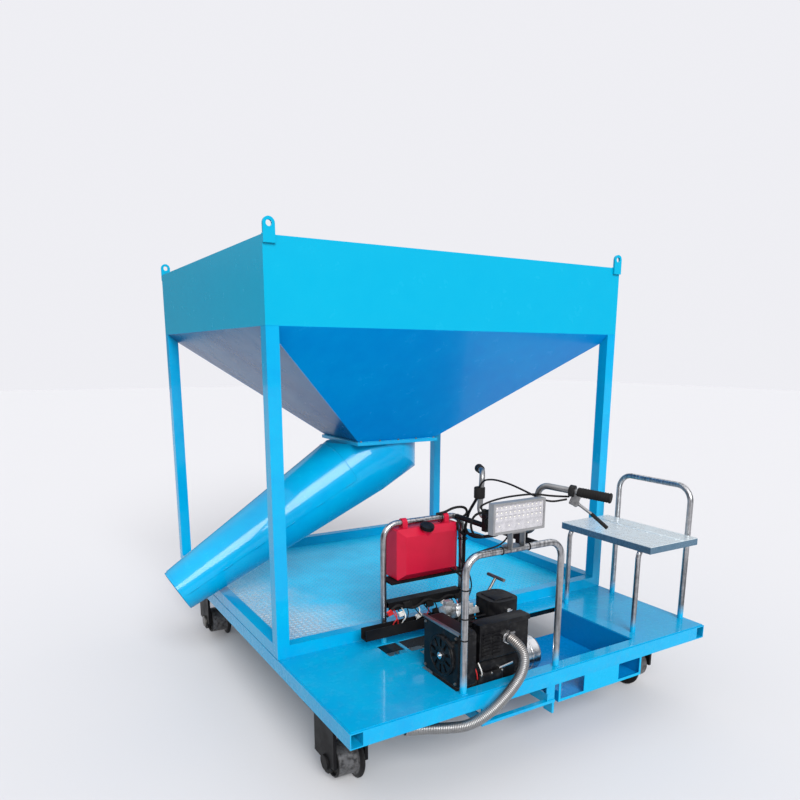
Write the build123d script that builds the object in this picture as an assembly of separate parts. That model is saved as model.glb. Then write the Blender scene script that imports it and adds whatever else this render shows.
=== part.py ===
"""Motorised rail trolley with a detachable hopper and a side chute.

Millimetres. X runs across the track with the seat on the +X side, Y runs along the
rails with the engine end at -Y, and Z is up. The origin is the middle of the deck
at the level of the wheel flanges' lowest points.
"""

import math
import os

from build123d import *

# Gap left at a seam, and how far a cutting solid runs past the face it opens
WELD_GAP = 0.3
OVERCUT = 1.0

# Track and wheels
TREAD_CENTRES = 1505.0
WHEELBASE = 1550.0
FLANGE_RADIUS = 88.0
TREAD_RADIUS = 66.0
TREAD_CONE = 2.0
WHEEL_WIDTH = 96.0
FLANGE_EDGE = 10.0
FLANGE_SLOPE = 10.0
HUB_RADIUS = 34.0
HUB_WIDTH = 100.0
WEB_RECESS = 10.0
RIM_WALL = 10.0
WHEEL_CHAMFER = 4.0
AXLE_RADIUS = 20.0
RUNNING_FIT = 0.05

# Wheel forks
FORK_SIDE_GAP = 6.0
FORK_PLATE = 12.0
FORK_FRONT = 66.0
FORK_REAR = 96.0
FORK_BOSS_RADIUS = 42.0
FORK_TOP_PLATE = 10.0
FORK_TOP_INSET = 6.0
PIN_HEAD_RADIUS = 28.0
PIN_HEAD = 8.0
COLLAR_GAP = 1.0

# Deck frame and plates
DECK_WIDTH = 1732.0
DECK_LENGTH = 2130.0
DECK_TOP = 358.0
DECK_PLATE = 4.0
DECK_TUBE_WIDTH = 50.0
DECK_TUBE_HEIGHT = 55.0
TUBE_WALL = 4.0
PLATE_INSET = 5.0
STRINGER_CENTRES = 1400.0
MID_BEAM_Y = 330.0
FRONT_DECK_DEPTH = 614.0

# Hopper
HOPPER_SETBACK = 3.0
POST_SIZE = 50.0
BOX_BOTTOM = 1605.0
BOX_HEIGHT = 301.0
SHEET = 4.0
THROAT_WIDTH = 430.0
THROAT_DEPTH = 386.0
FLANGE_TOP = 1097.0
FLANGE_PLATE = 8.0
FLANGE_LIP = 12.0
LUG_WIDTH = 44.0
LUG_PLATE = 10.0
LUG_RISE = 35.0
LUG_DROP = 28.0
LUG_HOLE_RADIUS = 11.0

# Chute
CHUTE_SLOPE = 29.4
CHUTE_ELBOW_Z = 1039.0
CHUTE_TOP_RADIUS = 188.0
CHUTE_END_RADIUS = 100.0
CHUTE_STRAIGHT = 120.0
CHUTE_LENGTH = 1214.0
CHUTE_SHEET = 4.0
COVER_SHEET = 3.0
COVER_START = 252.0
COVER_END_MARGIN = 12.0

# Openings in the front deck, from the left and front edges
ENGINE_BAY_LEFT = 442.0
ENGINE_BAY_FRONT = 54.0
ENGINE_BAY_STEP = 286.0
ENGINE_BAY_NOTCH = 70.0
ENGINE_BAY_BACK = 410.0
REAR_HOLE_BACK = 535.0
REAR_HOLE_STRIP = 12.0
REAR_HOLE_SPLIT = 38.0
REAR_HOLE_WIDTH = 94.0
REAR_HOLE_MARGIN = 120.0

# Footwell, from the left and front edges
FOOTWELL_LEFT = 880.0
FOOTWELL_RIGHT = 1336.0
FOOTWELL_BACK = 500.0
FOOTWELL_FLOOR = 222.0
FOOTWELL_SHEET = 3.0
FOOTWELL_LIP = 40.0
POCKET_WIDTH = 122.0
POCKET_INSET = 10.0
POCKET_HEIGHT = 66.0

# Engine cradle, from the left and front edges
CRADLE_LEFT = 517.0
CRADLE_RIGHT = 862.0
CRADLE_RAIL = 40.0
CRADLE_BOTTOM = 228.0
CRADLE_FOOT_BOTTOM = 182.0
CRADLE_FOOT = 10.0
CRADLE_SHEET = 6.0
CRADLE_BAR = 12.0
HANGER_SETBACK = 4.0

# Bent tube work
HOOP_RADIUS = 12.5
HOOP_BEND = 62.0
GUARD_LEFT = 455.0
GUARD_RIGHT = 885.0
GUARD_Y = 32.0
GUARD_TOP = 850.0
TANK_HOOP_LEFT = 430.0
TANK_HOOP_RIGHT = 812.0
TANK_HOOP_Y = 550.0
TANK_HOOP_TOP = 852.0
BRIDGE_X = 775.0
BRIDGE_RADIUS = 11.0

# Fuel tank
TANK_WIDTH = 292.0
TANK_DEPTH = 112.0
TANK_HEIGHT = 210.0
TANK_HANG = 20.0
TANK_CHAMFER = 28.0
TANK_EDGE = 8.0
EAR_SPAN = 200.0
EAR_WIDTH = 22.0
EAR_WALL = 5.0
CAP_RADIUS = 28.0
CAP_HEIGHT = 15.0
CAP_OFFSET = -16.0
CAP_TILT = 20.0
NECK_RADIUS = 20.0
NECK_LENGTH = 10.0
NECK_ROOT = 20.0
SHELF_THICKNESS = 8.0
SHELF_DEPTH = 90.0

# Lamp
LAMP_WIDTH = 226.0
LAMP_HEIGHT = 107.0
LAMP_DEPTH = 56.0
LAMP_LENS = 6.0
LAMP_RIM = 8.0
LAMP_CENTRE_X = 645.0
LAMP_BOTTOM = 922.0
LAMP_Y = 4.0
LAMP_FINS = 7
LAMP_FIN = 4.0
LENS_RECESS = 1.0
BRACKET_WIDTH = 60.0
BRACKET_DEPTH = 24.0
BRACKET_SHEET = 5.0
BRACKET_TAIL = 14.0

# Handlebar
BAR_RADIUS = 11.0
BAR_CENTRE_Y = 195.0
BAR_FAR_BASE = 190.0
BAR_FAR_TOP = 188.0
BAR_NEAR_BASE = 125.0
BAR_NEAR_TOP = 140.0
BAR_HALF_SPAN = 363.0
BAR_BASE_Z = 886.0
BAR_TOP_Z = 1062.0
BAR_END_Z = 1040.0
BAR_TOP_SWEEP = 10.0
BAR_END_SWEEP = 125.0
BAR_BEND = 34.0
CLAMP_WIDTH = 26.0
CLAMP_OFFSETS = (-68.0, 136.0)
CLAMP_WALL = 7.0
GRIP_LENGTH = 115.0
GRIP_RADIUS = 16.0
GRIP_END = 4.0

# Brake lever: drop below the pivot and run out along the grip at each bend
LEVER_RING_WALL = 7.0
LEVER_RING_WIDTH = 16.0
BRAKE_LEVER_ROUTE = ((17.0, 0.0), (38.0, 16.0), (66.0, 70.0), (104.0, 128.0))
BRAKE_LEVER_RADIUS = 5.0
BRAKE_LEVER_BEND = 12.0

# Seat, from the right and front edges
SEAT_WIDTH = 300.0
SEAT_LENGTH = 510.0
SEAT_TOP = 745.0
SEAT_SHEET = 3.0
SEAT_SKIRT = 30.0
SEAT_FRONT_EDGE = 45.0
SEAT_BACK_GAP = 38.0
LEG_RADIUS = 11.0
BACK_LEG_RADIUS = 12.5
LEG_X = 24.0
LEG_SPREAD = 310.0
LEG_FIRST_Y = 107.0
LEG_SECOND_Y = 504.0
LEG_BEND = 50.0
BACKREST_TOP = 955.0
BACKREST_BEND = 70.0

# Engine, from the left and front edges
CRANK_Y = 150.0
CRANK_Z = 458.0
FAN_FACE = 438.0
FAN_FRONT = 52.0
FAN_BACK = 280.0
FAN_BOTTOM = 360.0
FAN_TOP = 566.0
FAN_CORNER = 18.0
FAN_DEPTH = 74.0
RECOIL_RADIUS = 74.0
RECOIL_DEPTH = 10.0
FAN_EDGE = 10.0
RECOIL_EDGE = 6.0
RECOIL_SLOTS = 10
RECOIL_SLOT_SIZE = (12.0, 12.0, 30.0)
RECOIL_SLOT_RADIUS = 48.0
CRANKCASE_WIDTH = 200.0
CRANKCASE_LENGTH = 250.0
CRANKCASE_SHIFT = 52.0
CRANKCASE_EDGE = 24.0
CYLINDER_INSET = 20.0
CASE_TOP_DROP = 23.0
CYLINDER_RADIUS = 46.0
CYLINDER_LENGTH = 124.0
FIN_START = 34.0
FIN_SIZE = (130.0, 120.0)
GEARBOX_WIDTH = 36.0
GEARBOX_CRANK_RADIUS = 36.0
GEARBOX_DRUM_RADIUS = 60.0
GEARBOX_OUTPUT_RADIUS = 46.0
GEARBOX_OUTPUT_RISE = 30.0
DRUM_RADIUS = 66.0
DRUM_LENGTH = 118.0
DRUM_EDGE = 14.0
DRUM_Y = 158.0
DRUM_Z = 372.0
FIN_COUNT = 7
FIN_PITCH = 13.0
FIN_THICKNESS = 6.0
CYLINDER_TILT = 25.0

MUFFLER_LEFT = 545.0
MUFFLER_FRONT = 62.0
MUFFLER_SIZE = (222.0, 48.0, 140.0)
MUFFLER_EDGE = 12.0
FILTER_LEFT = 700.0
FILTER_FRONT = 180.0
FILTER_BOTTOM = 498.0
FILTER_SIZE = (134.0, 140.0, 94.0)
FILTER_CORNER = 40.0
FILTER_NECK_RADIUS = 14.0

# Gear lever with a cross handle, from the left and front edges
LEVER_ROUTE = ((742.0, 345.0, 330.0), (800.0, 350.0, 566.0), (842.0, 350.0, 626.0))
LEVER_RADIUS = 6.0
LEVER_BEND = 40.0
LEVER_HANDLE = 104.0
LEVER_HANDLE_RADIUS = 7.0

# Exhaust hose from the silencer over the front beam, from the left and front edges
HOSE_ROUTE = (
    (668.0, 61.7, 512.0),
    (668.0, 22.0, 512.0),
    (684.0, -20.0, 474.0),
    (662.0, -40.0, 418.0),
    (610.0, -42.0, 362.0),
    (530.0, -36.0, 300.0),
    (455.0, -10.0, 254.0),
    (375.0, 28.0, 250.0),
    (312.0, 54.0, 256.0),
    (238.0, 68.0, 264.0),
)
HOSE_RADIUS = 18.0

# Share of the shorter run that a hose's or cable's bend takes up
BEND_SHARE = 0.45

# Control cables, from the left and front edges
CABLE_RADIUS = 6.0
CABLE_TOP_Z = 992.0
CABLE_FALL = (
    (784.0, 436.0, 920.0),
    (806.0, 500.0, 868.0),
)
CABLE_POST_TOP = 784.0
CABLE_POST_END = 560.0
CABLE_TAIL = (800.0, 515.0, 442.0)
BRAKE_CABLE_RADIUS = 3.5
BRAKE_CABLE_ARC = (
    (756.0, 340.0, 1036.0),
    (752.0, 270.0, 1050.0),
    (752.0, 180.0, 1048.0),
    (756.0, 95.0, 1034.0),
    (762.0, 30.0, 1020.0),
    (780.0, -14.0, 1012.0),
    (826.0, -42.0, 1022.0),
)
CABLE_STRAP_RUN = 34.0

# Wiring rails on the tank hoop's posts: bottom and top of each
UPPER_RAIL = (496.0, 532.0)
LOWER_RAIL = (406.0, 450.0)
RAIL_DEPTH = 44.0
RAIL_SHEET = 4.0
RAIL_OVERHANG = 110.0

# Chain drive to the rear axle
CHAIN_X = 806.0
OUTPUT_Y = 362.0
OUTPUT_Z = 258.0
OUTPUT_SHAFT_RADIUS = 14.0
OUTPUT_SPROCKET_RADIUS = 34.0
AXLE_SPROCKET_RADIUS = 58.0
CHAIN_WIDTH = 14.0
CHAIN_THICKNESS = 12.0
CHAIN_GAP = 1.0
SPROCKET_WIDTH = 8.0
SPROCKET_HUB_WALL = 12.0

# Derived places
HALF_WIDTH = DECK_WIDTH / 2
HALF_LENGTH = DECK_LENGTH / 2
FRAME_TOP = DECK_TOP - DECK_PLATE
FRAME_BOTTOM = FRAME_TOP - DECK_TUBE_HEIGHT
AXLE_Z = FLANGE_RADIUS
FRONT_AXLE_Y = -WHEELBASE / 2
REAR_AXLE_Y = WHEELBASE / 2
HOPPER_FRONT = -HALF_LENGTH + FRONT_DECK_DEPTH
HOPPER_BACK = HALF_LENGTH - HOPPER_SETBACK
HOPPER_DEPTH = HOPPER_BACK - HOPPER_FRONT
HOPPER_Y = (HOPPER_FRONT + HOPPER_BACK) / 2
BOX_TOP = BOX_BOTTOM + BOX_HEIGHT
TANK_TOP = TANK_HOOP_TOP - TANK_HANG
TANK_BOTTOM = TANK_TOP - TANK_HEIGHT
FLANGE_BOTTOM = FLANGE_TOP - 2 * FLANGE_PLATE


def from_left(distance):
    """X of a point measured inwards from the deck's left edge."""
    return distance - HALF_WIDTH


def from_right(distance):
    """X of a point measured inwards from the deck's right edge."""
    return HALF_WIDTH - distance


def from_front(distance):
    """Y of a point measured back from the deck's front edge."""
    return distance - HALF_LENGTH


def block(x0, x1, y0, y1, z0, z1):
    """Box between two corners."""
    centre = Pos((x0 + x1) / 2, (y0 + y1) / 2, (z0 + z1) / 2)
    return centre * Box(x1 - x0, y1 - y0, z1 - z0)


def tube_along_y(x, y0, y1, z0, width, height):
    """Rectangular tube with open ends, running along Y."""
    outer = block(x - width / 2, x + width / 2, y0, y1, z0, z0 + height)
    half = width / 2 - TUBE_WALL
    z1 = z0 + height - TUBE_WALL
    return outer - block(x - half, x + half, y0 - OVERCUT, y1 + OVERCUT, z0 + TUBE_WALL, z1)


def tube_along_x(x0, x1, y, z0, width, height):
    """Rectangular tube with open ends, running along X."""
    outer = block(x0, x1, y - width / 2, y + width / 2, z0, z0 + height)
    half = width / 2 - TUBE_WALL
    z1 = z0 + height - TUBE_WALL
    return outer - block(x0 - OVERCUT, x1 + OVERCUT, y - half, y + half, z0 + TUBE_WALL, z1)


def plane_facing_x(x):
    """Plane across X whose own axes are the part's Y and Z."""
    return Plane(origin=(x, 0, 0), x_dir=(0, 1, 0), z_dir=(1, 0, 0))


def rod(points, radius, bend):
    """Round bar along straight runs joined by tangent arcs."""
    path = FilletPolyline(*points, radius=bend) if len(points) > 2 else Line(*points)
    section = Plane(origin=path @ 0, z_dir=path % 0) * Circle(radius)
    return sweep(section, path=path)


def flexible(points, radius):
    """Round hose or cable along a route, with each bend as large as its runs allow."""
    route = [Vector(*p) for p in points]
    runs = [b - a for a, b in zip(route, route[1:])]
    radii = []
    for before, after in zip(runs, runs[1:]):
        half_turn = math.radians(before.get_angle(after)) / 2
        radii.append(BEND_SHARE * min(before.length, after.length) / math.tan(half_turn))
    return rod(points, radius, radii)


def cylinder_x(x0, x1, y, z, radius):
    """Cylinder along X."""
    return Pos((x0 + x1) / 2, y, z) * Rot(0, 90, 0) * Cylinder(radius, x1 - x0)


def cylinder_y(x, y0, y1, z, radius):
    """Cylinder along Y."""
    return Pos(x, (y0 + y1) / 2, z) * Rot(90, 0, 0) * Cylinder(radius, y1 - y0)


def cylinder_z(x, y, z0, z1, radius):
    """Cylinder along Z."""
    return Pos(x, y, (z0 + z1) / 2) * Cylinder(radius, z1 - z0)


def level_corners(width, depth, y, z):
    """Corners of a level rectangle in order round it."""
    signs = ((-1, -1), (1, -1), (1, 1), (-1, 1))
    return [Vector(sx * width / 2, y + sy * depth / 2, z) for sx, sy in signs]


def between(first, second):
    """Solid between two quadrilaterals given by matching corners."""
    faces = [Face(Wire.make_polygon(first)), Face(Wire.make_polygon(second))]
    for i in range(4):
        j = (i + 1) % 4
        faces.append(Face(Wire.make_polygon([first[i], first[j], second[j], second[i]])))
    return Solid(Shell(faces))


def wheel_places():
    """Node ending, X and Y of each wheel centre."""
    half = TREAD_CENTRES / 2
    return (
        ("front_left", -half, FRONT_AXLE_Y),
        ("front_right", half, FRONT_AXLE_Y),
        ("rear_left", -half, REAR_AXLE_Y),
        ("rear_right", half, REAR_AXLE_Y),
    )


def wheel(x, y):
    """Wheel turned about X, with one flange on the side that faces the track's middle."""
    half = WHEEL_WIDTH / 2
    edge = half - FLANGE_EDGE
    rim = TREAD_RADIUS - RIM_WALL
    web = half - WEB_RECESS
    side = [
        (HUB_WIDTH / 2, AXLE_RADIUS + RUNNING_FIT),
        (HUB_WIDTH / 2, HUB_RADIUS),
        (web, HUB_RADIUS + WHEEL_CHAMFER),
        (web, rim - WHEEL_CHAMFER),
        (half, rim),
    ]
    flange = [
        (half, FLANGE_RADIUS - WHEEL_CHAMFER),
        (half - WHEEL_CHAMFER, FLANGE_RADIUS),
        (edge, FLANGE_RADIUS),
        (edge - FLANGE_SLOPE, TREAD_RADIUS),
    ]
    low = TREAD_RADIUS - TREAD_CONE
    outer_rim = [(WHEEL_CHAMFER - half, low), (-half, low - WHEEL_CHAMFER)]
    other_side = [(-px, py) for px, py in reversed(side)]
    profile = make_face(Polyline(*side, *flange, *outer_rim, *other_side, close=True))
    turn = 180 if x > 0 else 0
    return Pos(x, y, AXLE_Z) * Rot(0, 0, turn) * revolve(profile, Axis.X)


def fork(x, y):
    """Two side plates with a boss round the axle, under one top plate."""
    top = FRAME_BOTTOM
    plate_top = top - FORK_TOP_PLATE
    height = plate_top - AXLE_Z
    inner = HUB_WIDTH / 2 + FORK_SIDE_GAP
    sheet = Pos((FORK_REAR - FORK_FRONT) / 2, height / 2) * Rectangle(FORK_FRONT + FORK_REAR, height)
    face = sheet + Circle(FORK_BOSS_RADIUS) - Circle(AXLE_RADIUS + RUNNING_FIT)
    plate = extrude(plane_facing_x(0) * face, FORK_PLATE)
    side = math.copysign(1, x)
    outer_edge = HALF_WIDTH - FORK_TOP_INSET
    inner_edge = STRINGER_CENTRES / 2 - DECK_TUBE_WIDTH / 2
    x0, x1 = sorted((side * outer_edge, side * inner_edge))
    shape = block(x0, x1, y - FORK_FRONT, y + FORK_REAR, plate_top, top)
    for start in (inner, -inner - FORK_PLATE):
        shape += Pos(x + start, y, AXLE_Z) * plate
    return shape


def axle_pin(x, y):
    """Headed pin that carries one front wheel in its fork."""
    reach = HUB_WIDTH / 2 + FORK_SIDE_GAP + FORK_PLATE + WELD_GAP
    pin = cylinder_x(x - reach, x + reach, y, AXLE_Z, AXLE_RADIUS)
    for x0, x1 in ((x - reach - PIN_HEAD, x - reach), (x + reach, x + reach + PIN_HEAD)):
        pin += cylinder_x(x0, x1, y, AXLE_Z, PIN_HEAD_RADIUS)
    return pin


def drive_axle():
    """Through shaft of the rear wheels with its collars outside the forks."""
    reach = TREAD_CENTRES / 2 + HUB_WIDTH / 2 + FORK_SIDE_GAP + FORK_PLATE + COLLAR_GAP
    shaft = cylinder_x(-reach, reach, REAR_AXLE_Y, AXLE_Z, AXLE_RADIUS)
    for x0, x1 in ((-reach - PIN_HEAD, -reach), (reach, reach + PIN_HEAD)):
        shaft += cylinder_x(x0, x1, REAR_AXLE_Y, AXLE_Z, PIN_HEAD_RADIUS)
    return shaft


def sprocket(radius, y, z, shaft_radius):
    """Plain sprocket disc on its hub, in the chain's plane."""
    x = from_left(CHAIN_X)
    bore = shaft_radius + RUNNING_FIT
    disc = cylinder_x(x - SPROCKET_WIDTH / 2, x + SPROCKET_WIDTH / 2, y, z, radius)
    hub = cylinder_x(x - CHAIN_WIDTH, x + CHAIN_WIDTH, y, z, bore + SPROCKET_HUB_WALL)
    reach = CHAIN_WIDTH + OVERCUT
    return disc + hub - cylinder_x(x - reach, x + reach, y, z, bore)


def axle_sprocket():
    """Driven sprocket on the rear axle."""
    return sprocket(AXLE_SPROCKET_RADIUS, REAR_AXLE_Y, AXLE_Z, AXLE_RADIUS)


def output_sprocket():
    """Driving sprocket on the reduction case's output shaft."""
    return sprocket(OUTPUT_SPROCKET_RADIUS, from_front(OUTPUT_Y), OUTPUT_Z, OUTPUT_SHAFT_RADIUS)


def drive_chain():
    """Chain loop round the output and axle sprockets."""
    ends = (
        (from_front(OUTPUT_Y), OUTPUT_Z, OUTPUT_SPROCKET_RADIUS),
        (REAR_AXLE_Y, AXLE_Z, AXLE_SPROCKET_RADIUS),
    )

    def loop(offset):
        edges = []
        for y, z, radius in ends:
            edges += (Pos(y, z) * Circle(radius + offset)).edges()
        return make_hull(edges)

    band = loop(CHAIN_GAP + CHAIN_THICKNESS) - loop(CHAIN_GAP)
    plane = plane_facing_x(from_left(CHAIN_X) - CHAIN_WIDTH / 2)
    return extrude(plane * band, CHAIN_WIDTH)


def deck_side_beams():
    """The two full-length side tubes, open at both ends."""
    x = HALF_WIDTH - DECK_TUBE_WIDTH / 2
    size = (DECK_TUBE_WIDTH, DECK_TUBE_HEIGHT)
    return [tube_along_y(s * x, -HALF_LENGTH, HALF_LENGTH, FRAME_BOTTOM, *size) for s in (-1, 1)]


def cross_beam_places():
    """Y of each cross beam's middle line."""
    half = DECK_TUBE_WIDTH / 2
    return (-HALF_LENGTH + half, HOPPER_FRONT - half, MID_BEAM_Y, HALF_LENGTH - half)


def deck_cross_beams():
    """Tubes between the side beams."""
    x = HALF_WIDTH - DECK_TUBE_WIDTH
    size = (DECK_TUBE_WIDTH, DECK_TUBE_HEIGHT)
    return [tube_along_x(-x, x, y, FRAME_BOTTOM, *size) for y in cross_beam_places()]


def deck_stringers():
    """Short tubes between the cross beams, over the wheel forks."""
    half = DECK_TUBE_WIDTH / 2
    size = (DECK_TUBE_WIDTH, DECK_TUBE_HEIGHT)
    places = cross_beam_places()
    tubes = []
    for start, end in zip(places, places[1:]):
        for side in (-1, 1):
            x = side * STRINGER_CENTRES / 2
            tubes.append(tube_along_y(x, start + half, end - half, FRAME_BOTTOM, *size))
    return tubes


def front_deck_plate():
    """Smooth plate with the stepped engine bay, the two rear holes and the footwell cut out."""
    edge = HALF_WIDTH - PLATE_INSET
    z0, z1 = FRAME_TOP, DECK_TOP
    plate = block(-edge, edge, -HALF_LENGTH + PLATE_INSET, HOPPER_FRONT, z0, z1)
    rear_start = ENGINE_BAY_BACK + REAR_HOLE_STRIP
    split = ENGINE_BAY_LEFT + REAR_HOLE_SPLIT
    bay_inner = ENGINE_BAY_LEFT + ENGINE_BAY_NOTCH
    cuts = (
        (ENGINE_BAY_LEFT, FOOTWELL_LEFT, ENGINE_BAY_FRONT, ENGINE_BAY_STEP),
        (bay_inner, FOOTWELL_LEFT, ENGINE_BAY_STEP - OVERCUT, ENGINE_BAY_BACK),
        (split - REAR_HOLE_WIDTH, split - REAR_HOLE_STRIP / 2, rear_start, REAR_HOLE_BACK),
        (split + REAR_HOLE_STRIP / 2, FOOTWELL_LEFT - REAR_HOLE_MARGIN, rear_start, REAR_HOLE_BACK),
        (FOOTWELL_LEFT, FOOTWELL_RIGHT, ENGINE_BAY_FRONT, FOOTWELL_BACK),
    )
    low, high = z0 - OVERCUT, z1 + OVERCUT
    for x0, x1, y0, y1 in cuts:
        plate -= block(from_left(x0), from_left(x1), from_front(y0), from_front(y1), low, high)
    return plate


def rear_tread_plate():
    """Tread plate under the hopper."""
    edge = HALF_WIDTH - PLATE_INSET
    return block(-edge, edge, HOPPER_FRONT, HALF_LENGTH - PLATE_INSET, FRAME_TOP, DECK_TOP)


def footwell_tray():
    """Sunken foot tray with two pockets in its front wall, open to the rear."""
    x0, x1 = from_left(FOOTWELL_LEFT), from_left(FOOTWELL_RIGHT)
    y0, y1 = -HALF_LENGTH, from_front(FOOTWELL_BACK)
    floor_top = FOOTWELL_FLOOR + FOOTWELL_SHEET
    tray = block(x0, x1, y0, y1, FOOTWELL_FLOOR, floor_top)
    beam_back = y0 + DECK_TUBE_WIDTH
    tray += block(x1 - FOOTWELL_SHEET, x1, beam_back, y1, FOOTWELL_FLOOR, FRAME_TOP)
    tray += block(x1 - FOOTWELL_SHEET, x1, y0, beam_back, FOOTWELL_FLOOR, FRAME_BOTTOM)
    tray += block(x0, x0 + FOOTWELL_SHEET, y0, y1, FOOTWELL_FLOOR, floor_top + FOOTWELL_LIP)
    wall = block(x0, x1, y0, y0 + FOOTWELL_SHEET, FOOTWELL_FLOOR, FRAME_BOTTOM)
    low, high = FRAME_BOTTOM - POCKET_HEIGHT, FRAME_BOTTOM + OVERCUT
    for left in (x0 + POCKET_INSET, x1 - POCKET_INSET - POCKET_WIDTH):
        wall -= block(left, left + POCKET_WIDTH, y0 - OVERCUT, beam_back, low, high)
    return tray + wall


def engine_cradle():
    """Two angle rails under the engine, hung from the front beam and the hopper's cross beam."""
    x0, x1 = from_left(CRADLE_LEFT), from_left(CRADLE_RIGHT)
    y0, y1 = -HALF_LENGTH, HOPPER_FRONT
    z0 = CRADLE_BOTTOM
    hangers = (y0 + HANGER_SETBACK, y1 - DECK_TUBE_WIDTH + HANGER_SETBACK)
    shape = block(x0, x1, y0, y0 + CRADLE_RAIL / 2, z0, z0 + CRADLE_BAR)
    for left in (x0, x1 - CRADLE_RAIL):
        right = left + CRADLE_RAIL
        shape += block(left, right, y0, y1, z0, z0 + CRADLE_SHEET)
        shape += block(left, left + CRADLE_SHEET, y0, y1, z0, z0 + CRADLE_RAIL)
        for y in hangers:
            shape += block(left, right, y, y + CRADLE_SHEET, z0, FRAME_BOTTOM)
    foot_back = y0 + DECK_TUBE_WIDTH
    shape += block(x1 - CRADLE_FOOT, x1, hangers[0], foot_back, CRADLE_FOOT_BOTTOM, FRAME_BOTTOM)
    return shape


def hopper_base_rails():
    """Tubes between the feet of the hopper's posts."""
    half = POST_SIZE / 2
    x = HALF_WIDTH - half
    size = (POST_SIZE, POST_SIZE)
    y0, y1 = HOPPER_FRONT + POST_SIZE, HOPPER_BACK - POST_SIZE
    inner = HALF_WIDTH - POST_SIZE
    rails = [tube_along_y(s * x, y0, y1, DECK_TOP, *size) for s in (-1, 1)]
    for y in (HOPPER_FRONT + half, HOPPER_BACK - half):
        rails.append(tube_along_x(-inner, inner, y, DECK_TOP, *size))
    return rails


def hopper_posts():
    """Square tube posts coped to the underside of the hopper's slopes."""
    half = POST_SIZE / 2
    hollow = half - TUBE_WALL
    grown = 2 * WELD_GAP
    cope = between(
        level_corners(THROAT_WIDTH + grown, THROAT_DEPTH + grown, HOPPER_Y, FLANGE_TOP - WELD_GAP),
        level_corners(DECK_WIDTH + grown, HOPPER_DEPTH + grown, HOPPER_Y, BOX_BOTTOM - WELD_GAP),
    )
    posts = []
    for x in (half - HALF_WIDTH, HALF_WIDTH - half):
        for y in (HOPPER_FRONT + half, HOPPER_BACK - half):
            post = block(x - half, x + half, y - half, y + half, DECK_TOP, BOX_BOTTOM - WELD_GAP)
            low = DECK_TOP - OVERCUT
            post -= block(x - hollow, x + hollow, y - hollow, y + hollow, low, BOX_BOTTOM)
            posts.append(post - cope)
    return posts


def hopper_box():
    """Four walls of the hopper's open upper box."""
    x = HALF_WIDTH
    y0, y1 = HOPPER_FRONT, HOPPER_BACK
    walls = [block(-x, x, y, y + SHEET, BOX_BOTTOM, BOX_TOP) for y in (y0, y1 - SHEET)]
    for left in (-x, x - SHEET):
        walls.append(block(left, left + SHEET, y0 + SHEET, y1 - SHEET, BOX_BOTTOM, BOX_TOP))
    return walls


def hopper_cone():
    """Four sloping sheets from the box down to the outlet, mitred at their edges."""
    rise = BOX_BOTTOM - FLANGE_TOP
    inset_x = 2 * SHEET / math.sin(math.atan2(rise, (DECK_WIDTH - THROAT_WIDTH) / 2))
    inset_y = 2 * SHEET / math.sin(math.atan2(rise, (HOPPER_DEPTH - THROAT_DEPTH) / 2))
    rings = []
    for less_x, less_y in ((0, 0), (inset_x, inset_y)):
        low = level_corners(THROAT_WIDTH - less_x, THROAT_DEPTH - less_y, HOPPER_Y, FLANGE_TOP)
        high = level_corners(DECK_WIDTH - less_x, HOPPER_DEPTH - less_y, HOPPER_Y, BOX_BOTTOM)
        rings.append((low, high))
    sheets = []
    for i in range(4):
        j = (i + 1) % 4
        outer, inner = [[low[i], low[j], high[j], high[i]] for low, high in rings]
        sheets.append(between(outer, inner))
    return sheets


def lifting_lugs():
    """Teardrop lugs on the front and back faces of the box, near the corners."""
    half = LUG_WIDTH / 2
    low = BOX_TOP - LUG_DROP
    eye_z = BOX_TOP + LUG_RISE
    face = Pos(0, (low + eye_z) / 2) * Rectangle(LUG_WIDTH, eye_z - low)
    face += Pos(0, eye_z) * Circle(half)
    face -= Pos(0, eye_z) * Circle(LUG_HOLE_RADIUS)
    lugs = []
    for x in (half - HALF_WIDTH, HALF_WIDTH - half):
        for y in (HOPPER_FRONT, HOPPER_BACK + LUG_PLATE):
            plane = Plane(origin=(x, y, 0), x_dir=(1, 0, 0), z_dir=(0, -1, 0))
            lugs.append(extrude(plane * face, LUG_PLATE))
    return lugs


def flange_blank(z0, z1):
    """Rectangular flange plate of the outlet."""
    x = THROAT_WIDTH / 2 + FLANGE_LIP
    y = THROAT_DEPTH / 2 + FLANGE_LIP
    return block(-x, x, HOPPER_Y - y, HOPPER_Y + y, z0, z1)


def outlet_flange():
    """Flange welded round the foot of the slopes."""
    x = THROAT_WIDTH / 2 - 2 * SHEET
    y = THROAT_DEPTH / 2 - 2 * SHEET
    z0, z1 = FLANGE_TOP - FLANGE_PLATE, FLANGE_TOP
    hole = block(-x, x, HOPPER_Y - y, HOPPER_Y + y, z0 - OVERCUT, z1 + OVERCUT)
    return flange_blank(z0, z1) - hole


def chute_axis():
    """Plane at the elbow whose Z runs down along the chute, and the elbow's mitre plane."""
    slope = math.radians(CHUTE_SLOPE)
    down = Vector(-math.cos(slope), 0, -math.sin(slope))
    elbow = Vector(0, HOPPER_Y, CHUTE_ELBOW_Z)
    along = Plane(origin=elbow, x_dir=(0, 1, 0), z_dir=down)
    mitre = Plane(origin=elbow, x_dir=(0, 1, 0), z_dir=(Vector(0, 0, -1) + down).normalized())
    return along, mitre


def below_flange(form, drop):
    """What of a form lies under the outlet's flanges by at least a drop."""
    x = HALF_WIDTH
    low = FLANGE_BOTTOM - drop
    return form - block(-x, x, HOPPER_FRONT, HOPPER_BACK, low, BOX_BOTTOM)


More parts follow.
